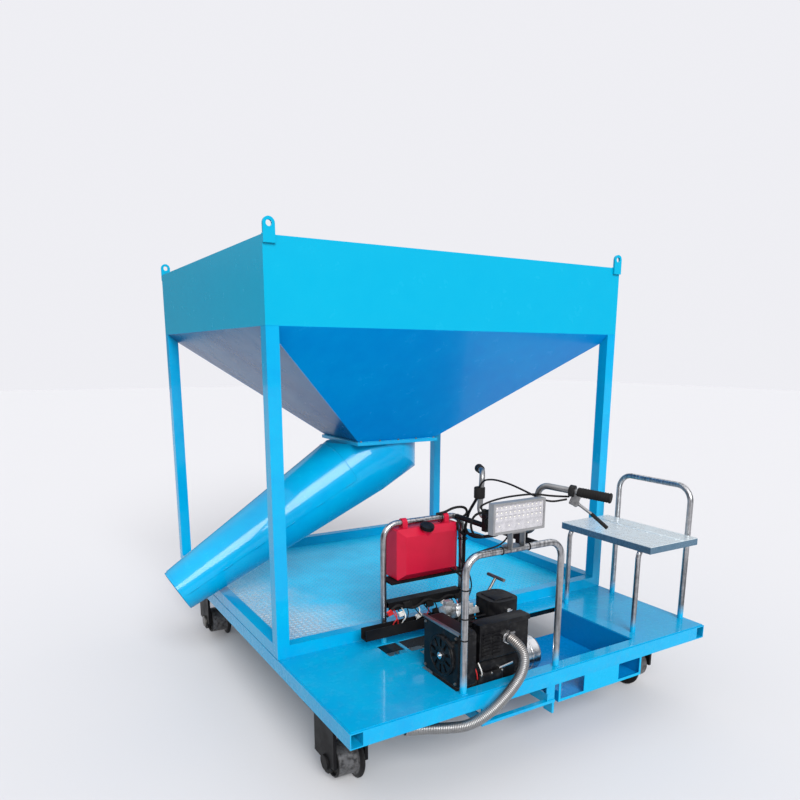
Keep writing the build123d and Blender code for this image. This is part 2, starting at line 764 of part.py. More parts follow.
def elbow_form(offset, extra):
    """Solid of the mitred elbow grown by an offset and run on at its lower end."""
    along, mitre = chute_axis()
    radius = CHUTE_TOP_RADIUS + offset
    back = 2 * CHUTE_TOP_RADIUS
    end = CHUTE_STRAIGHT + extra
    run = along * Pos(0, 0, (end - back) / 2) * Cylinder(radius, end + back)
    collar = cylinder_z(0, HOPPER_Y, CHUTE_ELBOW_Z - back, FLANGE_BOTTOM, radius)
    lower = split(run, bisect_by=mitre, keep=Keep.TOP)
    return lower + split(collar, bisect_by=mitre, keep=Keep.BOTTOM)


def chute_elbow():
    """Collar on its flange plate, mitred into the start of the sloping run."""
    sheet = below_flange(elbow_form(0, 0), 0)
    sheet -= below_flange(elbow_form(-CHUTE_SHEET, OVERCUT), CHUTE_SHEET)
    sheet += flange_blank(FLANGE_BOTTOM, FLANGE_BOTTOM + FLANGE_PLATE)
    low = FLANGE_BOTTOM - CHUTE_SHEET - OVERCUT
    return sheet - cylinder_z(0, HOPPER_Y, low, FLANGE_TOP, CHUTE_TOP_RADIUS - CHUTE_SHEET)


def chute_pipe():
    """Tapered run from the elbow down to the open end."""
    length = CHUTE_LENGTH - CHUTE_STRAIGHT
    place = chute_axis()[0] * Pos(0, 0, CHUTE_STRAIGHT + length / 2)
    outer = place * Cone(CHUTE_TOP_RADIUS, CHUTE_END_RADIUS, length)
    bore = place * Cone(CHUTE_TOP_RADIUS - CHUTE_SHEET, CHUTE_END_RADIUS - CHUTE_SHEET, length)
    return below_flange(outer, 0) - below_flange(bore, CHUTE_SHEET)


def chute_cover():
    """Upper half sheet lapped over the chute from below the elbow to its end."""
    along = chute_axis()[0]
    length = CHUTE_LENGTH - COVER_END_MARGIN - COVER_START
    rate = (CHUTE_TOP_RADIUS - CHUTE_END_RADIUS) / (CHUTE_LENGTH - CHUTE_STRAIGHT)
    start = CHUTE_TOP_RADIUS - rate * (COVER_START - CHUTE_STRAIGHT) + WELD_GAP
    end = start - rate * length
    place = along * Pos(0, 0, COVER_START + length / 2)
    shell = Cone(start + COVER_SHEET, end + COVER_SHEET, length) - Cone(start, end, length)
    half = Plane(origin=along.origin, x_dir=(0, 1, 0), z_dir=along.x_dir.cross(along.z_dir))
    keep = Keep.TOP if half.z_dir.Z > 0 else Keep.BOTTOM
    return split(place * shell, bisect_by=half, keep=keep)


def hoop(left, right, y, top, base):
    """Inverted U of round tube across the deck."""
    points = ((left, y, base), (left, y, top), (right, y, top), (right, y, base))
    return rod(points, HOOP_RADIUS, HOOP_BEND)


def engine_guard():
    """Hoop over the engine on the front beam."""
    left, right = from_left(GUARD_LEFT), from_left(GUARD_RIGHT)
    return hoop(left, right, from_front(GUARD_Y), GUARD_TOP, DECK_TOP)


def tank_hoop():
    """Hoop that carries the fuel tank, ahead of the hopper."""
    left, right = from_left(TANK_HOOP_LEFT), from_left(TANK_HOOP_RIGHT)
    return hoop(left, right, from_front(TANK_HOOP_Y), TANK_HOOP_TOP, DECK_TOP)


def bridge_bar():
    """Bar between the tops of both hoops, under the handlebar."""
    gap = HOOP_RADIUS + WELD_GAP
    y0, y1 = from_front(GUARD_Y) + gap, from_front(TANK_HOOP_Y) - gap
    return cylinder_y(from_left(BRIDGE_X), y0, y1, GUARD_TOP, BRIDGE_RADIUS)


def cap_seat():
    """Place of the filler neck on the middle of the tank's front upper chamfer."""
    x = from_left((TANK_HOOP_LEFT + TANK_HOOP_RIGHT) / 2 + CAP_OFFSET)
    y = from_front(TANK_HOOP_Y) - TANK_DEPTH / 2 + TANK_CHAMFER / 2
    return Pos(x, y, TANK_TOP - TANK_CHAMFER / 2) * Rot(CAP_TILT, 0, 0)


def fuel_tank():
    """Moulded tank with broad chamfers, a filler neck and two ears round the hoop's top bar."""
    x = from_left((TANK_HOOP_LEFT + TANK_HOOP_RIGHT) / 2)
    y = from_front(TANK_HOOP_Y)
    body = Pos(x, y, TANK_BOTTOM + TANK_HEIGHT / 2) * Box(TANK_WIDTH, TANK_DEPTH, TANK_HEIGHT)
    body = chamfer(body.faces().sort_by(Axis.Y)[0].edges(), TANK_CHAMFER)
    body = fillet(body.edges().filter_by(Axis.Y), TANK_EDGE)
    neck = Cylinder(NECK_RADIUS, NECK_LENGTH + NECK_ROOT)
    body += cap_seat() * Pos(0, 0, (NECK_LENGTH - NECK_ROOT) / 2) * neck
    hole = HOOP_RADIUS + WELD_GAP
    for side in (-1, 1):
        ear_x = x + side * EAR_SPAN / 2
        x0, x1 = ear_x - EAR_WIDTH / 2, ear_x + EAR_WIDTH / 2
        body += cylinder_x(x0, x1, y, TANK_HOOP_TOP, hole + EAR_WALL)
        y0, y1 = y - hole - EAR_WALL, y + hole + EAR_WALL
        body += block(x0, x1, y0, y1, TANK_TOP - OVERCUT, TANK_HOOP_TOP)
    reach = TANK_WIDTH
    return body - cylinder_x(x - reach, x + reach, y, TANK_HOOP_TOP, hole)


def tank_cap():
    """Screw cap on the tank's neck."""
    lift = NECK_LENGTH + WELD_GAP + CAP_HEIGHT / 2
    return cap_seat() * Pos(0, 0, lift) * Cylinder(CAP_RADIUS, CAP_HEIGHT)


def tank_shelf():
    """Flat bar between the hoop's posts that carries the tank."""
    x0 = from_left(TANK_HOOP_LEFT) + HOOP_RADIUS + WELD_GAP
    x1 = from_left(TANK_HOOP_RIGHT) - HOOP_RADIUS - WELD_GAP
    y = from_front(TANK_HOOP_Y)
    half = SHELF_DEPTH / 2
    return block(x0, x1, y - half, y + half, TANK_BOTTOM - SHELF_THICKNESS, TANK_BOTTOM)


def lamp_housing():
    """Finned lamp box with a rim round its face."""
    x, y = from_left(LAMP_CENTRE_X), from_front(LAMP_Y)
    z = LAMP_BOTTOM + LAMP_HEIGHT / 2
    body = Pos(x, y, z) * Box(LAMP_WIDTH, LAMP_DEPTH / 2, LAMP_HEIGHT)
    front, back = y - LAMP_DEPTH / 4, y + LAMP_DEPTH / 4
    half_x, half_z = LAMP_WIDTH / 2 - LAMP_RIM, LAMP_HEIGHT / 2 - LAMP_RIM
    body -= block(x - half_x, x + half_x, front - OVERCUT, front + LAMP_LENS, z - half_z, z + half_z)
    pitch = (LAMP_WIDTH - 4 * LAMP_RIM) / (LAMP_FINS - 1)
    for i in range(LAMP_FINS):
        x0 = x - LAMP_WIDTH / 2 + 2 * LAMP_RIM + i * pitch - LAMP_FIN / 2
        body += block(x0, x0 + LAMP_FIN, back, back + LAMP_DEPTH / 4, z - half_z, z + half_z)
    return body


def lamp_lens():
    """Clear front of the lamp, set in the rim."""
    x, y = from_left(LAMP_CENTRE_X), from_front(LAMP_Y)
    z = LAMP_BOTTOM + LAMP_HEIGHT / 2
    front = y - LAMP_DEPTH / 4
    half_x = LAMP_WIDTH / 2 - LAMP_RIM - WELD_GAP
    half_z = LAMP_HEIGHT / 2 - LAMP_RIM - WELD_GAP
    y0, y1 = front + LENS_RECESS, front + LAMP_LENS
    return block(x - half_x, x + half_x, y0, y1, z - half_z, z + half_z)


def lamp_bracket():
    """Stirrup from the guard's top bar to the underside of the lamp."""
    x0 = from_left(LAMP_CENTRE_X) - BRACKET_WIDTH / 2
    x1 = x0 + BRACKET_WIDTH
    y0 = from_front(LAMP_Y) - BRACKET_DEPTH / 2
    y1 = y0 + BRACKET_DEPTH
    foot = GUARD_TOP + HOOP_RADIUS
    shape = block(x0, x1, y0, from_front(GUARD_Y) + BRACKET_TAIL, foot, foot + BRACKET_SHEET)
    shape += block(x0, x1, y0, y1, LAMP_BOTTOM - BRACKET_SHEET, LAMP_BOTTOM)
    for left in (x0, x1 - BRACKET_SHEET):
        shape += block(left, left + BRACKET_SHEET, y0, y1, foot, LAMP_BOTTOM)
    return shape


def handlebar_points():
    """Route of the handlebar from the far grip to the near grip."""
    x = from_left(BRIDGE_X)
    y = from_front(BAR_CENTRE_Y)
    stations = (
        (BAR_END_SWEEP, BAR_HALF_SPAN, BAR_HALF_SPAN, BAR_END_Z),
        (BAR_TOP_SWEEP, BAR_FAR_TOP, BAR_NEAR_TOP, BAR_TOP_Z),
        (0.0, BAR_FAR_BASE, BAR_NEAR_BASE, BAR_BASE_Z),
    )
    far = [(x + out, y + reach, z) for out, reach, _, z in stations]
    near = [(x + out, y - reach, z) for out, _, reach, z in reversed(stations)]
    return far + near


def handlebar():
    """Bent bar with raised, swept ends."""
    return rod(handlebar_points(), BAR_RADIUS, BAR_BEND)


def grips():
    """Rubber sleeves on both ends of the handlebar."""
    points = handlebar_points()
    sleeves = []
    for end, inner in ((points[0], points[1]), (points[-1], points[-2])):
        direction = (Vector(*inner) - Vector(*end)).normalized()
        place = Plane(origin=Vector(*end) - direction * GRIP_END, z_dir=direction)
        sleeve = extrude(place * Circle(GRIP_RADIUS), GRIP_LENGTH)
        core = place.offset(GRIP_END - WELD_GAP) * Circle(BAR_RADIUS + RUNNING_FIT)
        sleeves.append(sleeve - extrude(core, GRIP_LENGTH))
    return sleeves


def handlebar_clamps():
    """Two blocks that hold the handlebar on the bridge bar."""
    x = from_left(BRIDGE_X)
    low = GUARD_TOP
    half = BAR_RADIUS + CLAMP_WALL
    clamps = []
    for offset in CLAMP_OFFSETS:
        y = from_front(BAR_CENTRE_Y) + offset
        y0, y1 = y - CLAMP_WIDTH / 2, y + CLAMP_WIDTH / 2
        body = block(x - half, x + half, y0, y1, low - half, BAR_BASE_Z + half)
        for z, radius in ((low, BRIDGE_RADIUS), (BAR_BASE_Z, BAR_RADIUS)):
            body -= cylinder_y(x, y0 - OVERCUT, y1 + OVERCUT, z, radius + RUNNING_FIT)
        clamps.append(body)
    return clamps


def brake_lever():
    """Lever below the near grip, on a ring round the bar."""
    points = handlebar_points()
    end, inner = Vector(*points[-1]), Vector(*points[-2])
    out = (end - inner).normalized()
    pivot = end - out * (GRIP_LENGTH + LEVER_RING_WIDTH)
    plane = Plane(origin=pivot - out * LEVER_RING_WIDTH / 2, z_dir=out)
    section = Circle(BAR_RADIUS + LEVER_RING_WALL) - Circle(BAR_RADIUS + RUNNING_FIT)
    ring = extrude(plane * section, LEVER_RING_WIDTH)
    down = Vector(0, 0, -1)
    route = [tuple(pivot + down * drop + out * run) for drop, run in BRAKE_LEVER_ROUTE]
    return ring + rod(route, BRAKE_LEVER_RADIUS, BRAKE_LEVER_BEND)


def seat_frame():
    """Rear legs that rise into the backrest, and front legs bent under the plate."""
    back_x = from_right(LEG_X)
    front_x = back_x - LEG_SPREAD
    y0, y1 = from_front(LEG_FIRST_Y), from_front(LEG_SECOND_Y)
    rail_z = SEAT_TOP - SEAT_SHEET - LEG_RADIUS - WELD_GAP
    back = (
        (back_x, y0, DECK_TOP),
        (back_x, y0, BACKREST_TOP),
        (back_x, y1, BACKREST_TOP),
        (back_x, y1, DECK_TOP),
    )
    frame = rod(back, BACK_LEG_RADIUS, BACKREST_BEND)
    for y in (y0, y1):
        front = ((front_x, y, DECK_TOP), (front_x, y, rail_z), (back_x, y, rail_z))
        frame += rod(front, LEG_RADIUS, LEG_BEND)
    return frame


def seat_plate():
    """Folded sheet seat with a skirt on three sides."""
    x1 = from_right(SEAT_BACK_GAP)
    x0 = x1 - SEAT_WIDTH
    y0 = from_front(SEAT_FRONT_EDGE)
    y1 = y0 + SEAT_LENGTH
    low = SEAT_TOP - SEAT_SKIRT
    outer = block(x0, x1, y0, y1, low, SEAT_TOP)
    x0, x1 = x0 + SEAT_SHEET, x1 + OVERCUT
    y0, y1 = y0 + SEAT_SHEET, y1 - SEAT_SHEET
    return outer - block(x0, x1, y0, y1, low - OVERCUT, SEAT_TOP - SEAT_SHEET)


def crankcase_box():
    """X and Y limits of the crankcase."""
    x0 = from_left(FAN_FACE + RECOIL_DEPTH + FAN_DEPTH)
    y0 = from_front(CRANK_Y - CRANKCASE_LENGTH / 2 + CRANKCASE_SHIFT)
    return x0, x0 + CRANKCASE_WIDTH, y0, y0 + CRANKCASE_LENGTH


def engine_block():
    """Crankcase on the cradle with a finned cylinder leaning back."""
    x0, x1, y0, y1 = crankcase_box()
    z0 = CRADLE_BOTTOM + CRADLE_RAIL
    z1 = CRANK_Z - CASE_TOP_DROP
    case = block(x0, x1, y0, y1, z0, z1)
    case = fillet(case.edges().filter_by(Axis.X), CRANKCASE_EDGE)
    x = (x0 + x1) / 2
    y = (y0 + y1) / 2 + CYLINDER_INSET
    centre = Pos(x, y, z1 - CYLINDER_INSET) * Rot(-CYLINDER_TILT, 0, 0)
    case += centre * Pos(0, 0, CYLINDER_LENGTH / 2) * Cylinder(CYLINDER_RADIUS, CYLINDER_LENGTH)
    for i in range(FIN_COUNT):
        case += centre * Pos(0, 0, FIN_START + i * FIN_PITCH) * Box(*FIN_SIZE, FIN_THICKNESS)
    return case


def fan_cover():
    """Square blower housing with the recoil starter's slotted dome on its left face."""
    face = from_left(FAN_FACE)
    y, z = from_front(CRANK_Y), CRANK_Z
    x0, y0, y1 = face + RECOIL_DEPTH, from_front(FAN_FRONT), from_front(FAN_BACK)
    body = block(x0, x0 + FAN_DEPTH, y0, y1, FAN_BOTTOM, FAN_TOP)
    body = fillet(body.edges().filter_by(Axis.X), FAN_CORNER)
    body = fillet(body.faces().sort_by(Axis.X)[0].edges(), FAN_EDGE)
    dome = cylinder_x(face, face + RECOIL_DEPTH + OVERCUT, y, z, RECOIL_RADIUS)
    body += fillet(dome.edges().sort_by(Axis.X)[0], RECOIL_EDGE)
    slot = Pos(0, 0, RECOIL_SLOT_RADIUS) * Box(*RECOIL_SLOT_SIZE)
    for i in range(RECOIL_SLOTS):
        body -= Pos(face, y, z) * Rot(360 * i / RECOIL_SLOTS, 0, 0) * slot
    return body


def muffler():
    """Silencer box at the upper front of the engine."""
    x0 = from_left(MUFFLER_LEFT)
    y0 = from_front(MUFFLER_FRONT)
    z0 = CRANK_Z - CASE_TOP_DROP
    box = block(x0, x0 + MUFFLER_SIZE[0], y0, y0 + MUFFLER_SIZE[1], z0, z0 + MUFFLER_SIZE[2])
    return fillet(box.edges().filter_by(Axis.X), MUFFLER_EDGE)


def air_filter():
    """Rounded air filter case on a neck beside the cylinder."""
    x0 = from_left(FILTER_LEFT)
    y0 = from_front(FILTER_FRONT)
    width, length, height = FILTER_SIZE
    box = block(x0, x0 + width, y0, y0 + length, FILTER_BOTTOM, FILTER_BOTTOM + height)
    box = fillet(box.edges().filter_by(Axis.Z), FILTER_CORNER)
    neck_x, neck_y = x0 + FILTER_NECK_RADIUS, y0 + length / 2
    low, high = CRANK_Z - CASE_TOP_DROP, FILTER_BOTTOM + OVERCUT
    return box + cylinder_z(neck_x, neck_y, low, high, FILTER_NECK_RADIUS)


def gearbox():
    """Flat reduction case from the crankshaft down to the chain's output shaft."""
    x1 = crankcase_box()[1]
    places = (
        (from_front(CRANK_Y), CRANK_Z, GEARBOX_CRANK_RADIUS),
        (from_front(DRUM_Y), DRUM_Z, GEARBOX_DRUM_RADIUS),
        (from_front(OUTPUT_Y), OUTPUT_Z + GEARBOX_OUTPUT_RISE, GEARBOX_OUTPUT_RADIUS),
    )
    edges = []
    for y, z, radius in places:
        edges += (Pos(y, z) * Circle(radius)).edges()
    case = extrude(plane_facing_x(x1) * make_hull(edges), GEARBOX_WIDTH)
    end = from_left(CHAIN_X) + CHAIN_WIDTH
    return case + cylinder_x(x1, end, from_front(OUTPUT_Y), OUTPUT_Z, OUTPUT_SHAFT_RADIUS)


def clutch_drum():
    """Bright drum on the outside of the reduction case."""
    x0 = crankcase_box()[1] + GEARBOX_WIDTH
    body = cylinder_x(x0, x0 + DRUM_LENGTH, from_front(DRUM_Y), DRUM_Z, DRUM_RADIUS)
    return fillet(body.edges().sort_by(Axis.X)[-1], DRUM_EDGE)


def placed(route):
    """Route in the part's frame from points measured from the left and front edges."""
    return [(from_left(x), from_front(y), z) for x, y, z in route]


def gear_lever():
    """Bent lever on the reduction case with a cross handle."""
    route = placed(LEVER_ROUTE)
    x, y, z = route[-1]
    stem = rod(route, LEVER_RADIUS, LEVER_BEND)
    half = LEVER_HANDLE / 2
    return stem + cylinder_y(x, y - half, y + half, z, LEVER_HANDLE_RADIUS) - gearbox()


def exhaust_hose():
    """Flexible metal hose hung from the silencer."""
    return flexible(placed(HOSE_ROUTE), HOSE_RADIUS)


def riser_at(z):
    """Middle of the handlebar's far riser at a height, from the left and front edges."""
    share = (z - BAR_BASE_Z) / (BAR_TOP_Z - BAR_BASE_Z)
    y = BAR_CENTRE_Y + BAR_FAR_BASE + share * (BAR_FAR_TOP - BAR_FAR_BASE)
    return BRIDGE_X + share * BAR_TOP_SWEEP, y


def control_cables():
    """Cable bundle from the handlebar down the tank hoop's post, and the brake cable to its lever."""
    heights = (CABLE_TOP_Z, CABLE_TOP_Z - CABLE_STRAP_RUN)
    gap = BAR_RADIUS + CABLE_RADIUS + WELD_GAP
    strapped = [(riser_at(z)[0], riser_at(z)[1] + gap, z) for z in heights]
    post_y = TANK_HOOP_Y - HOOP_RADIUS - CABLE_RADIUS - WELD_GAP
    post = [(TANK_HOOP_RIGHT, post_y, z) for z in (CABLE_POST_TOP, CABLE_POST_END)]
    bundle = flexible(placed([*strapped, *CABLE_FALL, *post, CABLE_TAIL]), CABLE_RADIUS)
    gap = BAR_RADIUS + BRAKE_CABLE_RADIUS + WELD_GAP
    strapped = [(riser_at(z)[0] - gap, riser_at(z)[1], z) for z in reversed(heights)]
    brake = flexible(placed([*strapped, *BRAKE_CABLE_ARC]), BRAKE_CABLE_RADIUS)
    return [bundle, brake]


def wiring_rails():
    """Channel between the tank hoop's posts, open below, and one across their fronts, open above."""
    y = from_front(TANK_HOOP_Y)
    gap = HOOP_RADIUS + WELD_GAP
    x0, x1 = from_left(TANK_HOOP_LEFT) + gap, from_left(TANK_HOOP_RIGHT) - gap
    y0, y1 = y - RAIL_DEPTH / 2, y + RAIL_DEPTH / 2
    z0, z1 = UPPER_RAIL
    upper = block(x0, x1, y0, y1, z0, z1)
    low, high = z0 - OVERCUT, z1 - RAIL_SHEET
    upper -= block(x0 - OVERCUT, x1 + OVERCUT, y0 + RAIL_SHEET, y1 - RAIL_SHEET, low, high)
    x0, x1 = from_left(TANK_HOOP_LEFT) - RAIL_OVERHANG, from_left(TANK_HOOP_RIGHT) + HOOP_RADIUS
    y0, y1 = y - gap - RAIL_DEPTH, y - gap
    z0, z1 = LOWER_RAIL
    lower = block(x0, x1, y0, y1, z0, z1)
    low, high = z0 + RAIL_SHEET, z1 + OVERCUT
    lower -= block(x0 - OVERCUT, x1 + OVERCUT, y0 + RAIL_SHEET, y1 - RAIL_SHEET, low, high)
    return [upper, lower]


def write_parts():
    """Write one STEP file for each node."""
    nodes = {
        "deck_frame": deck_side_beams() + deck_cross_beams() + deck_stringers(),
        "front_deck_plate": front_deck_plate(),
        "rear_tread_plate": rear_tread_plate(),
        "footwell_tray": footwell_tray(),
        "engine_cradle": engine_cradle(),
        "hopper_frame": hopper_base_rails() + hopper_posts(),
        "hopper_box": hopper_box(),
        "hopper_cone": hopper_cone(),
        "lifting_lugs": lifting_lugs(),
        "outlet_flange": outlet_flange(),
        "chute_elbow": chute_elbow(),
        "chute_pipe": chute_pipe(),
        "chute_cover": chute_cover(),
        "engine_guard": engine_guard(),
        "tank_hoop": tank_hoop(),
        "bridge_bar": bridge_bar(),
        "fuel_tank": fuel_tank(),
        "tank_cap": tank_cap(),
        "tank_shelf": tank_shelf(),
        "lamp_housing": lamp_housing(),
        "lamp_lens": lamp_lens(),
        "lamp_bracket": lamp_bracket(),
        "handlebar": handlebar(),
        "handlebar_grips": grips(),
        "handlebar_clamps": handlebar_clamps(),
        "brake_lever": brake_lever(),
        "seat_frame": seat_frame(),
        "seat_plate": seat_plate(),
        "engine_block": engine_block(),
        "fan_cover": fan_cover(),
        "muffler": muffler(),
        "air_filter": air_filter(),
        "gearbox": gearbox(),
        "clutch_drum": clutch_drum(),
        "gear_lever": gear_lever(),
        "exhaust_hose": exhaust_hose(),
        "control_cables": control_cables(),
        "wiring_rails": wiring_rails(),
        "drive_axle": drive_axle(),
        "axle_sprocket": axle_sprocket(),
        "output_sprocket": output_sprocket(),
        "drive_chain": drive_chain(),
        "wheel_forks": [fork(x, y) for _, x, y in wheel_places()],
        "front_axle_pins": [axle_pin(x, y) for _, x, y in wheel_places() if y == FRONT_AXLE_Y],
    }
    for name, x, y in wheel_places():
        nodes["wheel_" + name] = wheel(x, y)
    os.makedirs("parts", exist_ok=True)
    for name, shape in nodes.items():
        solid = Compound(children=shape) if isinstance(shape, list) else shape
        export_step(solid, "parts/" + name + ".step")


write_parts()
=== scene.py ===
"""Finish and fittings of a motorised rail trolley with a hopper, laid out as an add-on.

Metres. X runs across the track with the seat on the +X side, Y runs along the rails
with the engine end at -Y, and Z is up.
"""

import math
from contextlib import contextmanager

import bmesh
import bpy
from bpy.props import FloatProperty, FloatVectorProperty, IntProperty, PointerProperty
from bpy.types import Operator, Panel, PropertyGroup
from mathutils import Matrix, Vector


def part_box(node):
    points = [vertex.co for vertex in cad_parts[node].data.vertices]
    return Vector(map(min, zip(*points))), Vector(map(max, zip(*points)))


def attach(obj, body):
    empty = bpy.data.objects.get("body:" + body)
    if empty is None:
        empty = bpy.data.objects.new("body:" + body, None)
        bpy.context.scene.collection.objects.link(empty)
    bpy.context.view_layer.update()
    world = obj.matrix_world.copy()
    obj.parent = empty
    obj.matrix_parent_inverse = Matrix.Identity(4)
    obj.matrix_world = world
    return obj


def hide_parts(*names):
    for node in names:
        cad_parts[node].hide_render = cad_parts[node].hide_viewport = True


bl_info = {
    "name": "Rail trolley with hopper",
    "version": (1, 0, 0),
    "blender": (4, 5, 0),
    "location": "View3D > Sidebar > Trolley",
    "description": "Paints and fits out a motorised rail trolley with a hopper",
    "category": "Object",
}

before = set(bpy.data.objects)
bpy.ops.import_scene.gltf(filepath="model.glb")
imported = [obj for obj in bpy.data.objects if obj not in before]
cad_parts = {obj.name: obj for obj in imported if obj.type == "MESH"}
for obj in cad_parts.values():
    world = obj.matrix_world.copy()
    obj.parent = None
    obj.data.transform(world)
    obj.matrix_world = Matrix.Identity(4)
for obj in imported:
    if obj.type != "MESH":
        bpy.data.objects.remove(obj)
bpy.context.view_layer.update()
BODY = "trolley"
RIGHT = Vector((1.0, 0.0, 0.0))
REAR = Vector((0.0, 1.0, 0.0))
UP = Vector((0.0, 0.0, 1.0))


def metres(name, description, default):
    """Length that a user may change."""
    return FloatProperty(
        name=name, description=description, default=default, unit="LENGTH", precision=4
    )


def paint(name, description, default):
    """Colour that a user may change."""
    return FloatVectorProperty(
        name=name, description=description, default=default,
        subtype="COLOR", size=3, min=0.0, max=1.0,
    )


class TrolleyColours(PropertyGroup):
    """Colours of the trolley's finishes."""

    blue: paint("Blue enamel", "Paint of the deck and the posts", (0.0, 0.30, 0.52))
    blue_deep: paint("Deep blue", "Blue enamel where it pools", (0.0, 0.245, 0.49))
    # Box blue is a lit copy of the enamel: painted light on the hopper's box.
    box: paint("Box blue", "Paint of the hopper's box", (0.0, 0.303, 0.46))
    # Slope blues are a shaded copy of the enamel: painted shade on the slopes and the footwell.
    slope: paint("Slope blue", "Paint of the hopper's slopes", (0.0, 0.27, 0.64))
    slope_deep: paint("Deep slope blue", "Slope paint where it pools", (0.0, 0.215, 0.59))
    steel: paint("Bright steel", "Bent tube", (0.50, 0.50, 0.51))
    black: paint("Black paint", "Forks and brackets", (0.006, 0.006, 0.007))
    red: paint("Red moulding", "Fuel tank", (0.46, 0.006, 0.032))
    floor: paint("Floor", "Studio floor", (0.58, 0.58, 0.59))


class TrolleySizes(PropertyGroup):
    """Sizes of the small fittings."""

    bar_pitch: metres("Tread pitch", "Distance between the tread plate's raised bars", 0.026)
    bar_length: metres("Tread bar", "Length of a raised bar", 0.020)
    bar_height: metres("Tread height", "Height of a raised bar", 0.0014)
    weld_radius: metres("Weld bead", "Radius of a weld bead", 0.0045)
    weld_pitch: metres("Weld pitch", "Distance between a bead's ripples", 0.0048)
    hose_radius: metres("Hose radius", "Outside radius of the exhaust hose", 0.018)
    hose_pitch: metres("Hose pitch", "Length of one rib of the exhaust hose", 0.0062)
    chain_pitch: metres("Chain pitch", "Distance between the chain's pins", 0.0254)
    led_columns: IntProperty(name="LED columns", description="Lamp cells across", default=11)


def sizes():
    """Sizes of the small fittings in this scene."""
    return bpy.context.scene.trolley_sizes


def colours():
    """Colours of the finishes in this scene."""
    return bpy.context.scene.trolley_colours


class Wire:
    """Socket of a node tree that takes part in arithmetic."""

    def __init__(self, nodes, socket):
        self.nodes = nodes
        self.socket = socket

    def math(self, operation, first, second=0.0):
        return self.nodes.node("ShaderNodeMath", {"operation": operation}, {0: first, 1: second})

    def __add__(self, other):
        return self.math("ADD", self, other)

    def __sub__(self, other):
        return self.math("SUBTRACT", self, other)

    def __rsub__(self, other):
        return self.math("SUBTRACT", other, self)

    def __mul__(self, other):
        return self.math("MULTIPLY", self, other)

    def __pow__(self, other):
        return self.math("POWER", self, other)

    def __abs__(self):
        return self.math("ABSOLUTE", self)

    __radd__ = __add__
    __rmul__ = __mul__


class Nodes:
    """Node tree whose sockets take part in arithmetic."""

    def __init__(self, tree):
        self.tree = tree

    def feed(self, socket, value):
        """Link or set one socket. A colour comes without its alpha."""
        if isinstance(value, Wire):
            self.tree.links.new(value.socket, socket)
        elif socket.type == "RGBA":
            socket.default_value = (*value, 1.0)
        else:
            socket.default_value = value

    def node(self, kind, settings=None, inputs=None, output=0):
        """Add a node, set it, feed its sockets and give one output."""
        made = self.tree.nodes.new(kind)
        for key, value in (settings or {}).items():
            setattr(made, key, value)
        for key, value in (inputs or {}).items():
            self.feed(made.inputs[key], value)
        return Wire(self, made.outputs[output])

    def band(self, value, low, high):
        """Ramp from 0 at low to 1 at high, held between them."""
        inputs = {"Value": value, "From Min": low, "From Max": high}
        return self.node("ShaderNodeMapRange", {"clamp": True}, inputs)

    def mixed(self, first, second, share):
        """Colour between two colours."""
        inputs = {0: share, 6: first, 7: second}
        return self.node("ShaderNodeMix", {"data_type": "RGBA"}, inputs, 2)


class Finish(Nodes):
    """Material with one Principled shader, built from nodes on Object coordinates."""

    def __init__(self, name):
        self.material = bpy.data.materials.new(name)
        self.material.use_nodes = True
        super().__init__(self.material.node_tree)
        self.shader = self.tree.nodes["Principled BSDF"]
        self.place = self.node("ShaderNodeTexCoord", output="Object")

    def set(self, **sockets):
        """Link or set sockets of the shader."""
        for key, value in sockets.items():
            self.feed(self.shader.inputs[key.replace("_", " ")], value)

    def linked(self, name):
        """Wire that feeds a socket of the shader."""
        return Wire(self, self.shader.inputs[name].links[0].from_socket)

    def axis(self, name):
        """One of the X, Y and Z places of the surface."""
        return self.node("ShaderNodeSeparateXYZ", inputs={"Vector": self.place}, output=name)

    def stretched(self, scale):
        """Object coordinates scaled along each axis."""
        return self.node("ShaderNodeMapping", inputs={"Vector": self.place, "Scale": scale})

    def noise(self, scale, detail=3.0, vector=None, rough=0.5):
        """Soft noise from 0 to 1."""
        inputs = {"Scale": scale, "Detail": detail, "Roughness": rough}
        inputs["Vector"] = vector or self.place
        return self.node("ShaderNodeTexNoise", inputs=inputs, output="Fac")

    def patches(self, scale, detail, rough, low, high):
        """Noise cut to soft-edged patches."""
        return self.band(self.noise(scale, detail, rough=rough), low, high)

    def cells(self, scale):
        """Distance to the nearest cell point."""
        inputs = {"Vector": self.place, "Scale": scale}
        return self.node("ShaderNodeTexVoronoi", inputs=inputs, output="Distance")

    def bump(self, height, distance, strength):
        """Fine relief, on top of any relief that is there already."""
        inputs = {"Height": height, "Distance": distance, "Strength": strength}
        if self.shader.inputs["Normal"].is_linked:
            inputs["Normal"] = self.linked("Normal")
        self.set(Normal=self.node("ShaderNodeBump", inputs=inputs, output="Normal"))

    def grain(self, scale, detail, rough, distance, strength):
        """Fine relief of noise."""
        self.bump(self.noise(scale, detail, rough=rough), distance, strength)

    def tone(self, first, second, share):
        """Set the colour, between two colours."""
        self.set(Base_Color=self.mixed(first, second, share))


